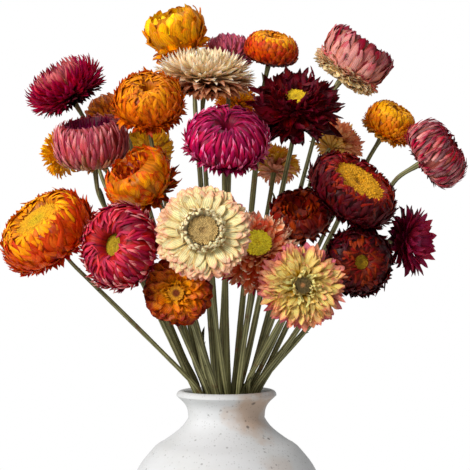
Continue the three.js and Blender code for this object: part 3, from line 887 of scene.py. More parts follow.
def grow_bracts(rng, head, radius, height):
    """Every bract of a head in the head's own directions, in metres: points, faces and values."""
    rows = whorls(head)
    stations = BRACT_STATIONS
    count = head.bracts
    rough = head.roughness
    # A whorl's share of the bracts goes with its length round the head.
    level = np.linspace(0, 1, len(rows))
    crowd = rows[:, 5] * rows[:, 0] ** 0.8
    total = np.concatenate([[0], np.cumsum((crowd[1:] + crowd[:-1]) / 2)])
    rank = np.interp((np.arange(count) + 0.5) / count, total / total[-1], level)
    out, up, lift, bend, width = (np.interp(rank, level, rows[:, k]) for k in range(5))

    azimuth = np.arange(count) * GOLDEN_ANGLE + stray(rng, "azimuth", count)
    lift = np.radians(lift + stray(rng, "lift", count))
    bend = np.radians(bend + stray(rng, "bend", count, rough))
    width = width * head.bract_width * (1 + stray(rng, "width", count)) * radius
    out = out * (1 + stray(rng, "out", count, rough)) * radius
    up = (up + stray(rng, "up", count, rough)) * height
    roll = np.clip(head.roll * (1 + stray(rng, "roll", count)), *ROLL_RANGE)
    twist = stray(rng, "twist", count, rough)
    sway = stray(rng, "sway", count, rough) * radius
    chance = rng.random(count)

    place, ahead = midribs(head, radius, height, rank, np.stack([out, up], -1), lift, bend)
    if head.shape in ROUNDED + CUPPED:
        on, places, headings = laid_bracts(rng, head, radius, height, rank)
        place[on], ahead[on] = places[on], headings[on]
        # Pressed between neighbours they twist less and lie more to one side.
        twist[on] *= 0.5
        sway[on] *= 1.5

    axis = np.array([0.0, 0.0, 1.0])
    radial = np.stack([np.cos(azimuth), np.sin(azimuth), np.zeros(count)], -1)[:, None, :]
    around = np.cross(axis, radial)
    aside = (sway[:, None] * stations ** 2)[..., None]
    rib = place[..., :1] * radial + place[..., 1:] * axis + around * aside
    normal = -ahead[..., 1:] * radial + ahead[..., :1] * axis
    turn = (twist[:, None] * stations)[..., None]
    side = around * np.cos(turn) + normal * np.sin(turn)
    normal = normal * np.cos(turn) - around * np.sin(turn)

    # Across the bract the edges roll up, and a dry edge waves a little.
    across = np.linspace(-1, 1, BRACT_COLUMNS)
    half = width[:, None] * bract_outline(stations, head.tip_shape)[None, :]
    roll = np.maximum(roll[:, None] * (0.6 + 0.4 * stations), 0.05)[..., None]
    x, y = rolled_up(half[..., None], roll, across)
    wave = rng.random((count, 1, 1)) * math.tau
    crimp = np.sin(stations[None, :, None] * EDGE_WAVE + wave + 1.4 * across) * across ** 2
    y = y + head.ruffle * radius * crimp * (half / width[:, None])[..., None]
    skin = rib[:, :, None, :] + side[:, :, None, :] * x[..., None] + normal[:, :, None, :] * y[..., None]
    under = skin - normal[:, :, None, :] * BRACT_SKIN

    upper = skin[:, :-1].reshape(count, -1, 3)
    lower = under[:, 1:-1, 1:-1].reshape(count, -1, 3)
    points = np.concatenate([upper, rib[:, -1:], lower], axis=1)
    faces = repeat_faces(sheet_faces(len(stations) - 1, BRACT_COLUMNS), count, points.shape[1])
    return points.reshape(-1, 3), faces, bract_values(rank, chance, across).reshape(-1, 4)


def grow_florets(rng, head, radius, height):
    """Disc florets as small closed studs on a low dome with a dimple: points, faces and values."""
    disc = head.disc_share * radius
    # Only a disc as wide as its head would have the most florets.
    fewest, most = 24, 1274
    count = int(fewest + (most - fewest) * head.disc_share ** 1.15)
    sides = FLORET_SIDES
    rank = (np.arange(count) + 0.5) / count
    share = np.sqrt(rank)
    outward = circle(np.arange(count) * GOLDEN_ANGLE)
    dimple = disc * head.disc_dimple * np.exp(-(share / DIMPLE_REACH) ** 2)
    rise = head.disc_seat * height + disc * DISC_DOME * (1 - rank) - dimple
    size = disc * 1.30 / math.sqrt(count) * (1 + rng.normal(0, 0.12, count))
    tall = size * (1.2 + 0.6 * rng.random(count)) * (1 + 0.8 * share ** 6)
    ring = circle(full_turn(sides))
    centre = np.column_stack([(disc * share)[:, None] * outward, rise])
    lean = outward * (rank * 0.7)[:, None]
    # Each stud has a lower and an upper ring, by its width and height.
    levels = []
    for wide, high in ((0.85, -0.6), (0.95, 0.6)):
        flat = ring[None] * (size * wide)[:, None, None] + lean[:, None, :] * (tall * high)[:, None, None]
        rises = np.broadcast_to((tall * high)[:, None, None], (count, sides, 1))
        levels.append(np.concatenate([flat, rises], axis=2) + centre[:, None, :])
    crown = centre + np.concatenate([lean * tall[:, None], tall[:, None]], axis=1)
    base = centre - np.stack([0 * tall, 0 * tall, tall * 0.6], -1)
    points = np.concatenate([*levels, base[:, None], crown[:, None]], axis=1)
    each = points.shape[1]
    values = np.empty((count, each, 4))
    values[..., 0] = np.concatenate([np.repeat([0.0, 0.8], sides), [0.0, 1.0]])
    values[..., 1] = 0
    values[..., 2] = (1 - share)[:, None]
    values[..., 3] = rng.random(count)[:, None]
    return points.reshape(-1, 3), repeat_faces(tube_faces(2, sides), count, each), values.reshape(-1, 4)


def grow_core(rng, head, radius, height):
    """The filled middle under a head's bracts, painted dark as shade: wide where they close up, narrow where
    they spread.
    """
    seat, disc = head.disc_seat * height, head.disc_share * radius
    if head.shape in ROUNDED + CUPPED:
        line, arc, level_on, ends = closed_outline(head, radius, height)
        lengths = np.linspace(0.04, 1, OUTLINE_POINTS) * arc[-1]
        side, _ = on_outline(line, arc, lengths, np.full(OUTLINE_POINTS, 0.055 * radius))
        side = np.maximum(side, (0.1 * radius, 0.0))
        rank = np.interp(lengths, ends, level_on)
        if head.shape in CUPPED:
            # Inside a cup's mouth the middle goes down to the disc.
            well = np.array([(0.94, 0.85), (0.84, 0.50), (0.62, 0.16)]) * (side[-1, 0], side[-1, 1] - seat)
            side = np.concatenate([side, well + (0, seat)])
            rank = np.concatenate([rank, [0.9, 0.95, 1.0]])
    else:
        waist = WAIST_SHARE * radius
        side = np.array([(0.10 * radius, 0.0), (0.16 * radius, 0.12 * seat), (waist, 0.5 * seat),
                         (max(disc, waist), 0.86 * seat)])
        rank = np.array([0.0, 0.1, 0.4, 0.8])
    side = np.concatenate([side, [(disc, 0.95 * seat), (0.03 * disc, 0.95 * seat)]])
    rank = np.concatenate([rank, [1.0, 1.0]])
    points, faces = lathe(side, CORE_STEPS)
    # The shader paints shade on what lies past a bract's edge, at over 1 across, so the whole filled middle
    # is painted dark as the shade between the bracts.
    values = np.full((len(points), 4), 0.5)
    values[:-2, 1] = np.tile(np.where(np.arange(CORE_STEPS) % 2, 2.0, 1.6), len(side))
    values[-2:, 1] = 0
    values[:, 2] = np.concatenate([np.repeat(rank, CORE_STEPS), [0, 1]])
    values[:-2, 3] = np.tile(rng.random(CORE_STEPS), len(side))
    return points, faces, values


def build_head(head, seed):
    """One head: its receptacle, its bracts and its disc florets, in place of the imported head."""
    rng = np.random.default_rng(seed)
    foot, directions, radius, height = head_frame(head.node)
    height *= head.depth_share
    radius *= head.spread
    pile = Pile()
    pile.add(*grow_bracts(rng, head, radius, height))
    pile.add(*grow_core(rng, head, radius, height))
    pile.add(*grow_florets(rng, head, radius, height), slot=1)
    pile.turn_to(foot, directions)
    piece = pile.build(f"{head.node}_bloom", [bract_material(head), disc_material(head)], SHARP["head"])
    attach(piece, BODY)
    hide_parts(f"{head.node}_head")
    head.node.split("_")[0] + "_bracts"


# Stems

# For each stem, how far down from the head its dry leaves are, as a share of its length, and how long they
# are, in millimetres.
LEAVES = {
    "gold_rear": ((0.13, 9), (0.17, 8)),
    "orange_top": ((0.05, 8),),
    "maroon_top": ((0.20, 12),),
    "pink_left": ((0.10, 14),),
    "crimson_right": ((0.12, 7),),
    "magenta_left": ((0.16, 10), (0.30, 8)),
    "salmon_mid": ((0.45, 14),),
    "orange_cup": ((0.38, 11),),
}
LEAF_ROWS = 7
LEAF_COLUMNS = 5
LEAF_ROLL = 1.2
LEAF_SKIN = 0.15 * MM
LEAF_WIDTH = 0.13
STEM_SPACING = 3 * MM
SWELL_LENGTH = 6 * MM
INTO_HEAD = 2.5 * MM
# A stem swells and thins a little over the knot length, turns by one radian over the twist length, and has
# its full thickness this far below the head. A groove's depth leaves this share of the radius.
KNOT_LENGTH = 11 * MM
TWIST_LENGTH = 90 * MM
THICKENING_LENGTH = 110 * MM
GROOVE = 0.94


def carried_sides(line):
    """Two directions square to the line at each station, carried along it without twisting."""
    ahead = unit(np.gradient(line, axis=0))
    side = np.cross(ahead[0], [0.3, 0.9, 0.1])
    first = []
    for direction in ahead:
        side = unit(side - direction * (side @ direction))
        first.append(side)
    first = np.array(first)
    return ahead, first, np.cross(ahead, first)


def leaf_on_stem(rng, pile, at, ahead, outward, length, chance):
    """One small dry leaf: a narrow closed sheet that leaves the stem and curls away from it."""
    stations = np.linspace(0, 1, LEAF_ROWS + 1)
    across = np.linspace(-1, 1, LEAF_COLUMNS)
    rise = math.radians(rng.uniform(72, 82)) - math.radians(rng.uniform(8, 32)) * stations
    middle = (rise[1:] + rise[:-1]) / 2
    step = length / LEAF_ROWS
    forward = np.concatenate([[0], np.cumsum(np.sin(middle) * step)])
    out = np.concatenate([[0], np.cumsum(np.cos(middle) * step)])
    rib = at + forward[:, None] * ahead + out[:, None] * outward
    half = length * LEAF_WIDTH * bract_outline(stations, 1.5)
    normal = np.cos(rise)[:, None] * ahead - np.sin(rise)[:, None] * outward
    x, y = rolled_up(half[:, None], LEAF_ROLL, across)
    skin = rib[:, None] + np.cross(outward, ahead) * x[..., None] + normal[:, None] * y[..., None]
    under = skin - normal[:, None] * LEAF_SKIN
    points = np.concatenate([skin[:-1].reshape(-1, 3), rib[-1:], under[1:-1, 1:-1].reshape(-1, 3)])
    values = np.tile((0.5, 0.0, 1.0, chance), (len(points), 1))
    pile.add(points, list(sheet_faces(LEAF_ROWS, LEAF_COLUMNS)), values)


def build_stem(settings, head, material, seed):
    """One ribbed stem from its swollen neck under the head to its cut end in the vase."""
    rng = np.random.default_rng(seed)
    foot = head_frame(head)[0]
    line = smooth_line(stem_line(head, foot), STEM_SPACING)
    line = np.concatenate([line[:1] + INTO_HEAD * unit(line[0] - line[1]), line])
    lengths = lengths_along(line)
    ahead, first, second = carried_sides(line)
    sides = settings.ribs * 2
    rib = np.where(np.arange(sides) % 2 == 0, 1.0, GROOVE)
    size = settings.thickness / 2 * rng.uniform(0.86, 1.08)
    swell = (settings.neck / 2 - size) * np.exp(-(lengths / SWELL_LENGTH) ** 2)
    knots = 1 + 0.035 * np.sin(lengths / KNOT_LENGTH + rng.uniform(0, 6)) + rng.normal(0, 0.012, len(line))
    slimmer = 0.80 + 0.28 * np.clip(lengths / THICKENING_LENGTH, 0, 1)
    radius = (size * slimmer + swell) * knots
    twist = lengths[:, None] / TWIST_LENGTH + full_turn(sides)[None, :]
    ring = first[:, None] * np.cos(twist)[..., None] + second[:, None] * np.sin(twist)[..., None]
    points = line[:, None] + ring * (radius[:, None] * rib[None, :])[..., None]
    chance = rng.random()
    values = np.zeros((len(line) * sides + 2, 4))
    values[:-2, 0] = np.repeat(lengths / lengths[-1], sides)
    values[-1, 0] = 1
    values[:-2, 1] = np.tile(rib, len(line))
    values[:, 3] = chance
    points = np.concatenate([points.reshape(-1, 3), line[:1], line[-1:]])
    pile = Pile()
    pile.add(points, tube_faces(len(line), sides), values)
    spots = list(LEAVES.get(head, ()))
    spots += [(rng.uniform(0.06, 0.45), rng.uniform(1.8, 3.2)) for _ in range(2)]
    for share, length in spots:
        station = int(np.searchsorted(lengths, share * lengths[-1]))
        angle = rng.uniform(0, math.tau)
        outward = first[station] * math.cos(angle) + second[station] * math.sin(angle)
        at = line[station] + outward * radius[station] * 0.75
        leaf_on_stem(rng, pile, at, -ahead[station], outward, length * MM, chance)
    piece = pile.build(f"{head}_stalk", [material], SHARP["stem"])
    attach(piece, BODY)
    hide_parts(f"{head}_stem")


# Vase

# The throwing rings go through one radian of their wave in this height, and fade in over the foot's height.
# Near the axis they move the wall as they do at the least radius.
THROWING_PITCH = 2.1 * MM
FOOT_HEIGHT = 4 * MM
LEAST_RADIUS = 10 * MM
# The outline is curved in between its corners, with this many new stretches for each old one.
CORNER_ANGLE = 34
SPLITS = 3
LIP_SWEEP = 220
LIP_STEP = 20


def with_lip(outline, radius):
    """The outline with a round bead in place of its sharp lip."""
    crest = int(np.argmax(outline[:, 1]))
    centre = outline[crest] - [0, radius]
    bead = centre + radius * circle(np.radians(np.arange(0, LIP_SWEEP + 1, LIP_STEP)))
    outer = outline[:crest][outline[:crest, 1] < bead[0, 1] - 0.8 * radius]
    inner = outline[crest:][outline[crest:, 1] < bead[-1, 1] - 0.4 * radius]
    return np.concatenate([outer, bead, inner])


def rounded_outline(outline):
    """The outline with curved stretches between its corners."""
    before = outline[1:-1] - outline[:-2]
    after = outline[2:] - outline[1:-1]
    turn = np.abs(np.arctan2(before[:, 0] * after[:, 1] - before[:, 1] * after[:, 0],
                             (before * after).sum(axis=1)))
    sharp = np.flatnonzero(turn > math.radians(CORNER_ANGLE)) + 1
    corners = [0, *sharp, len(outline) - 1]
    fine = [outline[:1]]
    for a, b in zip(corners, corners[1:]):
        stretch = outline[a:b + 1]
        if len(stretch) > 2:
            spacing = np.linalg.norm(np.diff(stretch, axis=0), axis=1).mean() / SPLITS
            stretch = smooth_line(stretch, spacing)
        fine.append(stretch[1:])
    return np.concatenate(fine)


def build_vase(settings):
    """The thrown vase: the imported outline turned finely, with throwing rings and a slightly uneven rim."""
    outline = rounded_outline(with_lip(vase_outline(), settings.lip / 2))
    outline = outline[outline[:, 0] > ON_PLANE]
    points, faces = lathe(outline, settings.segments)
    turn = np.arctan2(points[:, 1], points[:, 0])
    out = np.hypot(points[:, 0], points[:, 1])
    high = points[:, 2]
    top = high.max()
    rings = settings.ripple * np.sin(high / THROWING_PITCH + 0.6 * np.sin(turn))
    uneven = 2 * settings.ripple * np.sin(2 * turn + 0.7) * np.clip(high / top, 0, 1)
    on_side = np.clip(high / FOOT_HEIGHT, 0, 1)
    grow = 1 + (rings + uneven) * on_side / np.maximum(out, LEAST_RADIUS)
    points[:, :2] *= grow[:, None]
    near_rim = np.clip((high - 0.9 * top) / (0.1 * top), 0, 1)
    points[:, 2] += 1.5 * settings.ripple * np.sin(turn + 2.1) * near_rim
    pile = Pile()
    pile.add(points, faces, np.zeros((len(points), 4)))
    piece = pile.build("thrown_vase", [vase_material(settings)], SHARP["vase"])
    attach(piece, BODY)
    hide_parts("vase")


# Materials

COLOUR, NUMBER = "NodeSocketColor", "NodeSocketFloat"
GREY = (0.5, 0.5, 0.5, 1)
BRACT_COLOURS = ("Foot", "Body", "Tip", "Outer", "Inner")
# The vase's warm patches and its dark spot: a point of the surface and a radius, in metres.
NECK_PATCH = ((0.016, -0.017, 0.112), 0.020)
SHOULDER_PATCH = ((0.032, -0.038, 0.086), 0.016)
DARK_SPOT = ((0.0147, -0.0193, 0.1167), 0.0016)


class Shade:
    """A value or colour in a shader tree, for which plain arithmetic adds Math nodes."""

    def __init__(self, tree, socket):
        self.tree = tree
        self.socket = socket

    def __add__(self, other):
        return calc(self.tree, "ADD", self, other)

    def __sub__(self, other):
        return calc(self.tree, "SUBTRACT", self, other)

    def __rsub__(self, other):
        return calc(self.tree, "SUBTRACT", other, self)

    def __mul__(self, other):
        return calc(self.tree, "MULTIPLY", self, other)

    def __abs__(self):
        return calc(self.tree, "ABSOLUTE", self)

    __radd__ = __add__


class Outputs:
    """What a node puts out, by name or by number."""

    def __init__(self, tree, node):
        self.tree = tree
        self.node = node

    def __getitem__(self, name):
        return Shade(self.tree, self.node.outputs[name])


def put(tree, kind, sockets=None, **settings):
    """A new node with its settings, and its sockets set to values or linked to what other nodes put out."""
    node = tree.nodes.new(kind)
    for name, value in settings.items():
        setattr(node, name, value)
    for name, value in (sockets or {}).items():
        if isinstance(value, Shade):
            tree.links.new(value.socket, node.inputs[name])
        else:
            node.inputs[name].default_value = value
    return Outputs(tree, node)


def calc(tree, operation, a, b=0.0, clamp=False):
    return put(tree, "ShaderNodeMath", {0: a, 1: b}, operation=operation, use_clamp=clamp)[0]


def smooth(tree, value, low, high, to_low=0.0, to_high=1.0):
    """Runs smoothly from one value to another as the input goes from low to high."""
    return put(tree, "ShaderNodeMapRange", {
        "Value": value, "From Min": low, "From Max": high, "To Min": to_low, "To Max": to_high,
    }, interpolation_type="SMOOTHSTEP")[0]


def mix(tree, share, a, b, blend="MIX"):
    return put(tree, "ShaderNodeMix", {0: share, 6: a, 7: b}, data_type="RGBA", blend_type=blend)[2]


def graded(tree, colour, value, **more):
    """The colour made lighter or darker by the value."""
    return put(tree, "ShaderNodeHueSaturation", {"Color": colour, "Value": value, **more})["Color"]


def surface_values(tree, *names):
    return [put(tree, "ShaderNodeAttribute", attribute_name=name)["Fac"] for name in names]


def position(tree):
    return put(tree, "ShaderNodeTexCoord")["Object"]


def noise(tree, scale, detail=2.0, roughness=0.5):
    return put(tree, "ShaderNodeTexNoise", {
        "Vector": position(tree), "Scale": scale, "Detail": detail, "Roughness": roughness})["Fac"]


def solid(colour):
    return (*colour, 1)


def new_group(name, inputs, outputs):
    """A new shader node group with its named sockets, and what comes in through them."""
    tree = bpy.data.node_groups.new(name, "ShaderNodeTree")
    for label, kind, value in inputs:
        socket = tree.interface.new_socket(name=label, in_out="INPUT", socket_type=kind)
        socket.default_value = value
    for label, kind in outputs:
        tree.interface.new_socket(name=label, in_out="OUTPUT", socket_type=kind)
    return tree, put(tree, "NodeGroupInput")


def place(tree, name, make, values):
    """Puts a node group into a material's tree; the group is made the first time it's placed."""
    group = bpy.data.node_groups.get(name) or make(name)
    return put(tree, "ShaderNodeGroup", values, node_tree=group)


def dry_grain_group(name):
    """Mottling, fine grain and uneven dryness, shared by bracts, discs, stems and leaves."""
    tree, given = new_group(
        name,
        [("Colour", COLOUR, GREY), ("Patch Scale", NUMBER, 260.0), ("Patch Amount", NUMBER, 0.25),
         ("Grain Scale", NUMBER, 1800.0), ("Roughness", NUMBER, 0.6)],
        [("Colour", COLOUR), ("Roughness", NUMBER), ("Height", NUMBER)])
    patches = noise(tree, given["Patch Scale"], 3.0, 0.6)
    grain = noise(tree, given["Grain Scale"], 2.0, 0.7)
    value = 1.0 + (smooth(tree, patches, 0.25, 0.75) - 0.5) * given["Patch Amount"]
    value = value * smooth(tree, grain, 0.2, 0.8, 0.94, 1.06)
    rough = calc(tree, "ADD", given["Roughness"], (patches - 0.5) * 0.35, clamp=True)
    put(tree, "NodeGroupOutput", {
        "Colour": graded(tree, given["Colour"], value), "Roughness": rough, "Height": grain})
    return tree


def bract_group(name):
    """A bract's colour from foot to tip and from whorl to whorl, with its lengthwise veins, and painted shade
    at its edges, at its foot and on the head's filled middle.
    """
    tree, given = new_group(
        name,
        [*((label, COLOUR, GREY) for label in BRACT_COLOURS), ("Tip Start", NUMBER, 0.66),
         ("Outer Reach", NUMBER, 0.26), ("Inner Reach", NUMBER, 0.22),
         ("Edge Tint", COLOUR, (0.85, 0.68, 0.57, 1)), ("Contrast", NUMBER, 0.14)],
        [("Colour", COLOUR), ("Veins", NUMBER)])
    along, across, rank, chance = surface_values(tree, *VALUE_NAMES)
    side = abs(across)
    own = chance - 0.5

    # From the foot over the body to the tip, with wandering borders.
    shifted = along + ((noise(tree, 170.0) - 0.5) * 0.5 + own * 0.22)
    colour = mix(tree, smooth(tree, shifted, 0.08, 0.50), given["Foot"], given["Body"])
    colour = mix(tree, smooth(tree, shifted + side * 0.10, given["Tip Start"], 1.05), colour, given["Tip"])

    # The whorls round the disc and the lowest ones have colours of their own.
    whorl = rank + own * 0.16
    high = 1.0 - given["Inner Reach"]
    colour = mix(tree, smooth(tree, whorl, high - 0.10, high + 0.06), colour, given["Inner"])
    low = given["Outer Reach"]
    colour = mix(tree, smooth(tree, whorl, low * 0.5, low, 1.0, 0.0), colour, given["Outer"])

    stripes = calc(tree, "SINE", across * 17.0 + noise(tree, 420.0, 1.0) * 5.0)
    veins = smooth(tree, stripes, -1.0, 1.0)
    # Painted shade: a bract's edges are multiplied by a warm shade colour, as if its neighbours shaded them.
    edge_shaded = mix(tree, 1.0, colour, given["Edge Tint"], "MULTIPLY")
    colour = mix(tree, smooth(tree, side, 0.45, 1.0), colour, edge_shaded)
    value = 1.0 + own * 2.0 * given["Contrast"]
    value = value * smooth(tree, veins, 0.0, 1.0, 0.82, 1.10)
    # Painted shade: what lies past a bract's edge is the head's filled middle, painted darker as shade, and a
    # bract's foot is painted darker because shade falls there.
    value = value * smooth(tree, side, 1.05, 2.0, 1.0, 0.50)
    value = value * smooth(tree, along, 0.0, 0.45, 0.62, 1.0)
    hue = smooth(tree, chance, 0.0, 1.0, 0.492, 0.508)
    put(tree, "NodeGroupOutput", {
        "Colour": graded(tree, colour, value, Saturation=1.13, Hue=hue), "Veins": veins})
    return tree


def floret_group(name):
    """The disc's colour from its rim to its eye, with painted shade towards each floret's foot between its
    neighbours, so its crown is lighter.
    """
    tree, given = new_group(
        name, [("Disc", COLOUR, GREY), ("Eye", COLOUR, GREY), ("Eye Start", NUMBER, 0.55)],
        [("Colour", COLOUR)])
    along, rank, chance = surface_values(tree, "along", "rank", "chance")
    toward_eye = smooth(tree, rank, given["Eye Start"], given["Eye Start"] + 0.35)
    # Painted shade: each floret is darker towards its foot, where its neighbours shade it; each floret also
    # has a random tone of its own.
    value = smooth(tree, along, 0.0, 1.0, 0.72, 1.04) * smooth(tree, chance, 0.0, 1.0, 0.80, 1.12)
    put(tree, "NodeGroupOutput", {
        "Colour": graded(tree, mix(tree, toward_eye, given["Disc"], given["Eye"]), value)})
    return tree


def dried(tree, colour, patch_scale, patch_amount, grain_scale, roughness):
    """The dry grain over a colour."""
    return place(tree, "Dry Grain", dry_grain_group, {
        "Colour": colour, "Patch Scale": patch_scale, "Patch Amount": patch_amount,
        "Grain Scale": grain_scale, "Roughness": roughness})


def new_material(name):
    material = bpy.data.materials.new(name)
    material.use_nodes = True
    material.node_tree.nodes.clear()
    return material, material.node_tree


def finish_material(tree, colour, roughness, height, depth, constants):
    """The shader and its bump; the constants are values that are the same all over the surface."""
    bump = put(tree, "ShaderNodeBump", {"Height": height, "Strength": 0.6, "Distance": depth})
    shader = put(tree, "ShaderNodeBsdfPrincipled", {
        "Base Color": colour, "Roughness": roughness, "Normal": bump["Normal"], **constants})
    put(tree, "ShaderNodeOutputMaterial", {"Surface": shader["BSDF"]})


def bract_material(head):
    """Papery bracts in this head's colours."""
    material, tree = new_material(f"{head.node} bracts")
    bract = place(tree, "Papery Bract", bract_group, {
        **{label: solid(getattr(head, label.lower())) for label in BRACT_COLOURS},
        "Tip Start": head.tip_start, "Outer Reach": head.outer_reach, "Inner Reach": head.inner_reach,
        "Contrast": head.contrast})
    dry = dried(tree, bract["Colour"], 240.0, 0.30, 1500.0, 0.44)
    height = bract["Veins"] * 0.7 + dry["Height"] * 0.5
    finish_material(tree, dry["Colour"], dry["Roughness"], height, 0.16 * MM, {
        "Specular IOR Level": 0.16, "Subsurface Weight": 0.20, "Subsurface Scale": 0.8 * MM,
        "Subsurface Radius": (1.0, 0.45, 0.25)})
    return material


def disc_material(head):
    """The florets of this head's disc."""
    material, tree = new_material(f"{head.node} disc")
    disc = place(tree, "Disc Florets", floret_group, {
        "Disc": solid(head.disc), "Eye": solid(head.eye), "Eye Start": head.eye_start})
    dry = dried(tree, disc["Colour"], 500.0, 0.20, 2600.0, 0.75)
    finish_material(tree, dry["Colour"], dry["Roughness"], dry["Height"], 0.10 * MM,
                    {"Specular IOR Level": 0.3})
    return material


def stem_material(settings):
    """Dry plant stem: paler ribs, dark grooves and browned stretches, with painted shade towards the vase's
    mouth.
    """
    material, tree = new_material("dry stem")
    along, rib, chance = surface_values(tree, "along", "across", "chance")
    pale, dark, brown = (solid(c) for c in (settings.pale, settings.dark, settings.brown))
    patches = noise(tree, 60.0, 3.0, 0.6)
    ridge = smooth(tree, rib, GROOVE - 0.01, 1.0)
    colour = mix(tree, ridge * smooth(tree, patches, 0.3, 0.7, 0.45, 1.0), dark, pale)
    older = smooth(tree, chance + patches, 0.75, 1.35, 0.0, 0.75)
    colour = mix(tree, older, colour, dark)
    spots = smooth(tree, noise(tree, 140.0), 0.60, 0.74, 0.0, 0.8)
    colour = mix(tree, spots, colour, brown)
    # Painted shade: each stem darkens towards the vase's mouth, where the stems crowd; each stem also has a
    # random tone of its own.
    shade = smooth(tree, along, 0.45, 0.80, 1.0, 0.62) * smooth(tree, chance, 0.0, 1.0, 0.66, 1.22)
    dry = dried(tree, graded(tree, colour, shade), 300.0, 0.25, 1800.0, 0.66)
    finish_material(tree, dry["Colour"], dry["Roughness"], dry["Height"], 0.15 * MM,
                    {"Specular IOR Level": 0.35})
    return material


def speck_mask(tree, scale, size, share):
    """Round specks: one in each cell of a pattern, but only in a share of the cells."""
    cells = put(tree, "ShaderNodeTexVoronoi", {"Vector": position(tree), "Scale": scale, "Randomness": 1.0})
    inside = smooth(tree, cells["Distance"], size * 0.6, size, 1.0, 0.0)
    pick = put(tree, "ShaderNodeSeparateColor", {"Color": cells["Color"]})[0]
    return inside * smooth(tree, pick, share, calc(tree, "ADD", share, 0.02), 1.0, 0.0)


def patch_mask(tree, centre, radius):
    """A soft round patch about a point of the surface, broken up by noise."""
    away = put(tree, "ShaderNodeVectorMath", {0: position(tree), 1: centre}, operation="DISTANCE")["Value"]
    broken = away + (noise(tree, 120.0, 3.0) - 0.5) * radius
    return smooth(tree, broken, radius * 0.3, radius, 1.0, 0.0)


def larger(tree, a, b):
    return calc(tree, "MAXIMUM", a, b)


def vase_material(settings):
    """Matt off-white stoneware glaze with fine specks, a few pits and warm patches, bare at the foot."""
    material, tree = new_material("speckled stoneware")
    glaze, shade, speck, blush, clay = (solid(c) for c in (
        settings.glaze, settings.shade, settings.speck, settings.blush, settings.clay))
    cloud = noise(tree, 28.0, 4.0, 0.6)
    colour = mix(tree, smooth(tree, cloud, 0.35, 0.75, 0.0, 0.7), glaze, shade)
    warm = larger(tree, patch_mask(tree, *NECK_PATCH), patch_mask(tree, *SHOULDER_PATCH) * 0.35)
    colour = mix(tree, warm * 0.8, colour, blush)

    # Specks of three sizes, more of them towards the right, and one dark spot under the rim.
    where = put(tree, "ShaderNodeSeparateXYZ", {"Vector": position(tree)})
    to_right = smooth(tree, where["X"], -0.05, 0.04, 0.6, 1.5)
    fine = speck_mask(tree, 760.0, 0.34, to_right * 0.30)
    middle = speck_mask(tree, 300.0, 0.24, to_right * 0.16)
    coarse = speck_mask(tree, 95.0, 0.13, 0.16)
    dark = larger(tree, coarse, patch_mask(tree, *DARK_SPOT))
    specks = larger(tree, fine * 0.35, larger(tree, middle * 0.6, dark))
    colour = mix(tree, specks * 0.72, colour, speck)

    bare = smooth(tree, where["Z"] + cloud * (1.2 * MM), 1.6 * MM, 2.4 * MM, 1.0, 0.0)
    colour = mix(tree, bare, colour, clay)
    grain = noise(tree, 900.0, 3.0, 0.6)
    rough = smooth(tree, grain, 0.2, 0.8, 0.55, 0.68) + bare * 0.3
    height = grain + cloud - specks * 0.8
    finish_material(tree, colour, rough, height, 0.10 * MM, {"Specular IOR Level": 0.3})
    return material


def floor_material(settings):
    """A pale floor that fades into the white room away from the object."""
    material, tree = new_material("studio floor")
    away = put(tree, "ShaderNodeVectorMath", {0: position(tree)}, operation="LENGTH")["Value"]
    grain = noise(tree, 40.0, 3.0)
    tone = graded(tree, solid(settings.floor), smooth(tree, grain, 0.3, 0.7, 0.985, 1.01))
    shader = put(tree, "ShaderNodeBsdfPrincipled", {
        "Base Color": tone, "Roughness": smooth(tree, grain, 0.2, 0.8, 0.7, 0.8),
        "Alpha": smooth(tree, away, FLOOR_CLEAR, FLOOR_RADIUS, 1.0, 0.0)})
    put(tree, "ShaderNodeOutputMaterial", {"Surface": shader["BSDF"]})
    return material


# Studio

FLOOR_RADIUS = 0.48
FLOOR_CLEAR = 0.14
FLOOR_SIDES = 96
FLOOR_RINGS = 24
# The soft lights by place, diameter and colour; both point at the middle of the bouquet.
KEY_LIGHT = ((-0.80, -0.86, 0.78), 0.55, (1, 0.985, 0.96))
TOP_LIGHT = ((0.15, 0.25, 1.25), 0.8, (1, 1, 1))
LIT_HEIGHT = 0.20
SENSOR_WIDTH = 36


def aim(item, target):
    item.rotation_euler = (Vector(target) - item.location).to_track_quat("-Z", "Y").to_euler()


def soft_light(name, power, place_at, size, colour):
    light = bpy.data.lights.new(name, "AREA")
    light.shape = "DISK"
    light.size = size
    light.energy = power
    light.color = colour
    item = bpy.data.objects.new(name, light)
    item.location = place_at
    aim(item, (0, 0, LIT_HEIGHT))
    bpy.context.scene.collection.objects.link(item)


def build_camera(settings):
    scene = bpy.context.scene
    camera = bpy.data.cameras.new("camera")
    eye = bpy.data.objects.new("camera", camera)
    eye.location = settings.camera
    aim(eye, (settings.camera[0], 0, settings.aim_height))
    camera.sensor_width = SENSOR_WIDTH
    camera.lens = camera.sensor_width * abs(settings.camera[1]) / settings.view_width
    scene.collection.objects.link(eye)
    scene.camera = eye


def build_floor(settings):
    radii = np.linspace(0.02, FLOOR_RADIUS, FLOOR_RINGS)
    rings = ring_points(radii, FLOOR_SIDES)
    points = np.zeros((len(rings) + 1, 3))
    points[:-1, :2] = rings
    # The rings run outwards, so that the quads are taken the other way round to face up.
    quads = ring_quads(FLOOR_RINGS, FLOOR_SIDES)[:, [0, 3, 2, 1]]
    pile = Pile()
    pile.add(points, [quads, fan(0, FLOOR_SIDES, len(rings))], np.zeros((len(points), 4)))
    floor = pile.build("floor", [floor_material(settings)], SHARP["floor"])


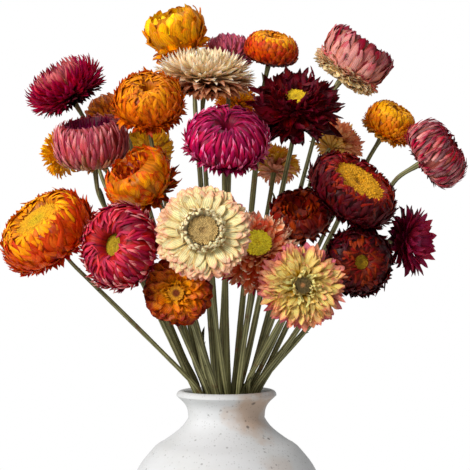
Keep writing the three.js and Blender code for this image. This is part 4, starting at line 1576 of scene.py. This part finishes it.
def build_room(settings):
    """An evenly white room: the camera sees it at full strength and the bouquet is lit by less of it."""
    scene = bpy.context.scene
    world = bpy.data.worlds.new("white room")
    world.use_nodes = True
    tree = world.node_tree
    tree.nodes.clear()
    seen = put(tree, "ShaderNodeLightPath")["Is Camera Ray"]
    strength = smooth(tree, seen, 0.0, 1.0, settings.sky, 1.0)
    room = put(tree, "ShaderNodeBackground", {"Color": (1, 1, 1, 1), "Strength": strength})
    put(tree, "ShaderNodeOutputWorld", {"Surface": room["Background"]})
    scene.world = world
    scene.view_settings.view_transform = "Standard"


def build_stage(settings):
    """Camera, floor, soft lights and the white room."""
    build_camera(settings)
    build_floor(settings)
    soft_light("key light", settings.key_power, *KEY_LIGHT)
    soft_light("top light", settings.fill_power, *TOP_LIGHT)
    build_room(settings)


# Operators and panel

class BouquetOperator:
    """What the operators share."""
    bl_options = {"REGISTER", "UNDO"}


def build_heads(scene, shapes):
    """Builds the heads of these shapes, each with a seed of its own, so their order doesn't matter."""
    for number, head in enumerate(head_rows(scene)):
        if head.shape in shapes:
            build_head(head, HEAD_SEED + number)


class BOUQUET_OT_open_heads(BouquetOperator, bpy.types.Operator):
    """Grow the open heads, whose disc shows"""
    bl_idname = "bouquet.open_heads"
    bl_label = "Open heads"

    def execute(self, context):
        build_heads(context.scene, ("flat", "layered", "open", "curled"))
        return {"FINISHED"}


class BOUQUET_OT_brush_heads(BouquetOperator, bpy.types.Operator):
    """Grow the heads with straight spreading bracts and those that bend back"""
    bl_idname = "bouquet.brush_heads"
    bl_label = "Brush heads"

    def execute(self, context):
        build_heads(context.scene, ("tuft", "brush", "star", "reflexed"))
        return {"FINISHED"}


class BOUQUET_OT_closed_heads(BouquetOperator, bpy.types.Operator):
    """Grow the balls and cups, whose bracts close over the disc"""
    bl_idname = "bouquet.closed_heads"
    bl_label = "Closed heads"

    def execute(self, context):
        build_heads(context.scene, ROUNDED + CUPPED)
        return {"FINISHED"}


class BOUQUET_OT_stems(BouquetOperator, bpy.types.Operator):
    """Build the dry stems with their small leaves"""
    bl_idname = "bouquet.stems"
    bl_label = "Stems"

    def execute(self, context):
        settings = context.scene.bouquet.stem
        material = stem_material(settings)
        for number, head in enumerate(head_rows(context.scene)):
            build_stem(settings, head.node, material, STEM_SEED + number)
        return {"FINISHED"}


class BOUQUET_OT_vase(BouquetOperator, bpy.types.Operator):
    """Throw the speckled vase"""
    bl_idname = "bouquet.vase"
    bl_label = "Vase"

    def execute(self, context):
        build_vase(context.scene.bouquet.vase)
        return {"FINISHED"}


class BOUQUET_OT_stage(BouquetOperator, bpy.types.Operator):
    """Set up the camera, the pale floor and the soft light"""
    bl_idname = "bouquet.stage"
    bl_label = "Stage"

    def execute(self, context):
        build_stage(context.scene.bouquet.stage)
        return {"FINISHED"}


STEPS = (
    BOUQUET_OT_stage,
    BOUQUET_OT_open_heads,
    BOUQUET_OT_brush_heads,
    BOUQUET_OT_closed_heads,
    BOUQUET_OT_stems,
    BOUQUET_OT_vase,
)


class BOUQUET_PT_panel(bpy.types.Panel):
    """The bouquet's pieces and their settings"""
    bl_idname = "BOUQUET_PT_panel"
    bl_label = "Dried daisy bouquet"
    bl_space_type = "VIEW_3D"
    bl_region_type = "UI"
    bl_category = "Bouquet"

    def draw(self, context):
        layout = self.layout
        for step in STEPS:
            layout.operator(step.bl_idname)
        bouquet = context.scene.bouquet
        for title, settings in (("Stems", bouquet.stem), ("Vase", bouquet.vase), ("Stage", bouquet.stage)):
            box = layout.box()
            box.label(text=title)
            for key in settings.__annotations__:
                box.prop(settings, key)


CLASSES = (DaisyHead, StemSettings, VaseSettings, StageSettings, BouquetSettings, *STEPS, BOUQUET_PT_panel)


def register():
    for item in CLASSES:
        bpy.utils.register_class(item)
    bpy.types.Scene.bouquet = PointerProperty(type=BouquetSettings)


def unregister():
    del bpy.types.Scene.bouquet
    for item in reversed(CLASSES):
        bpy.utils.unregister_class(item)


def main():
    register()
    for step in STEPS:
        group, name = step.bl_idname.split(".")
        getattr(getattr(bpy.ops, group), name)()


if __name__ == "__main__":
    main()
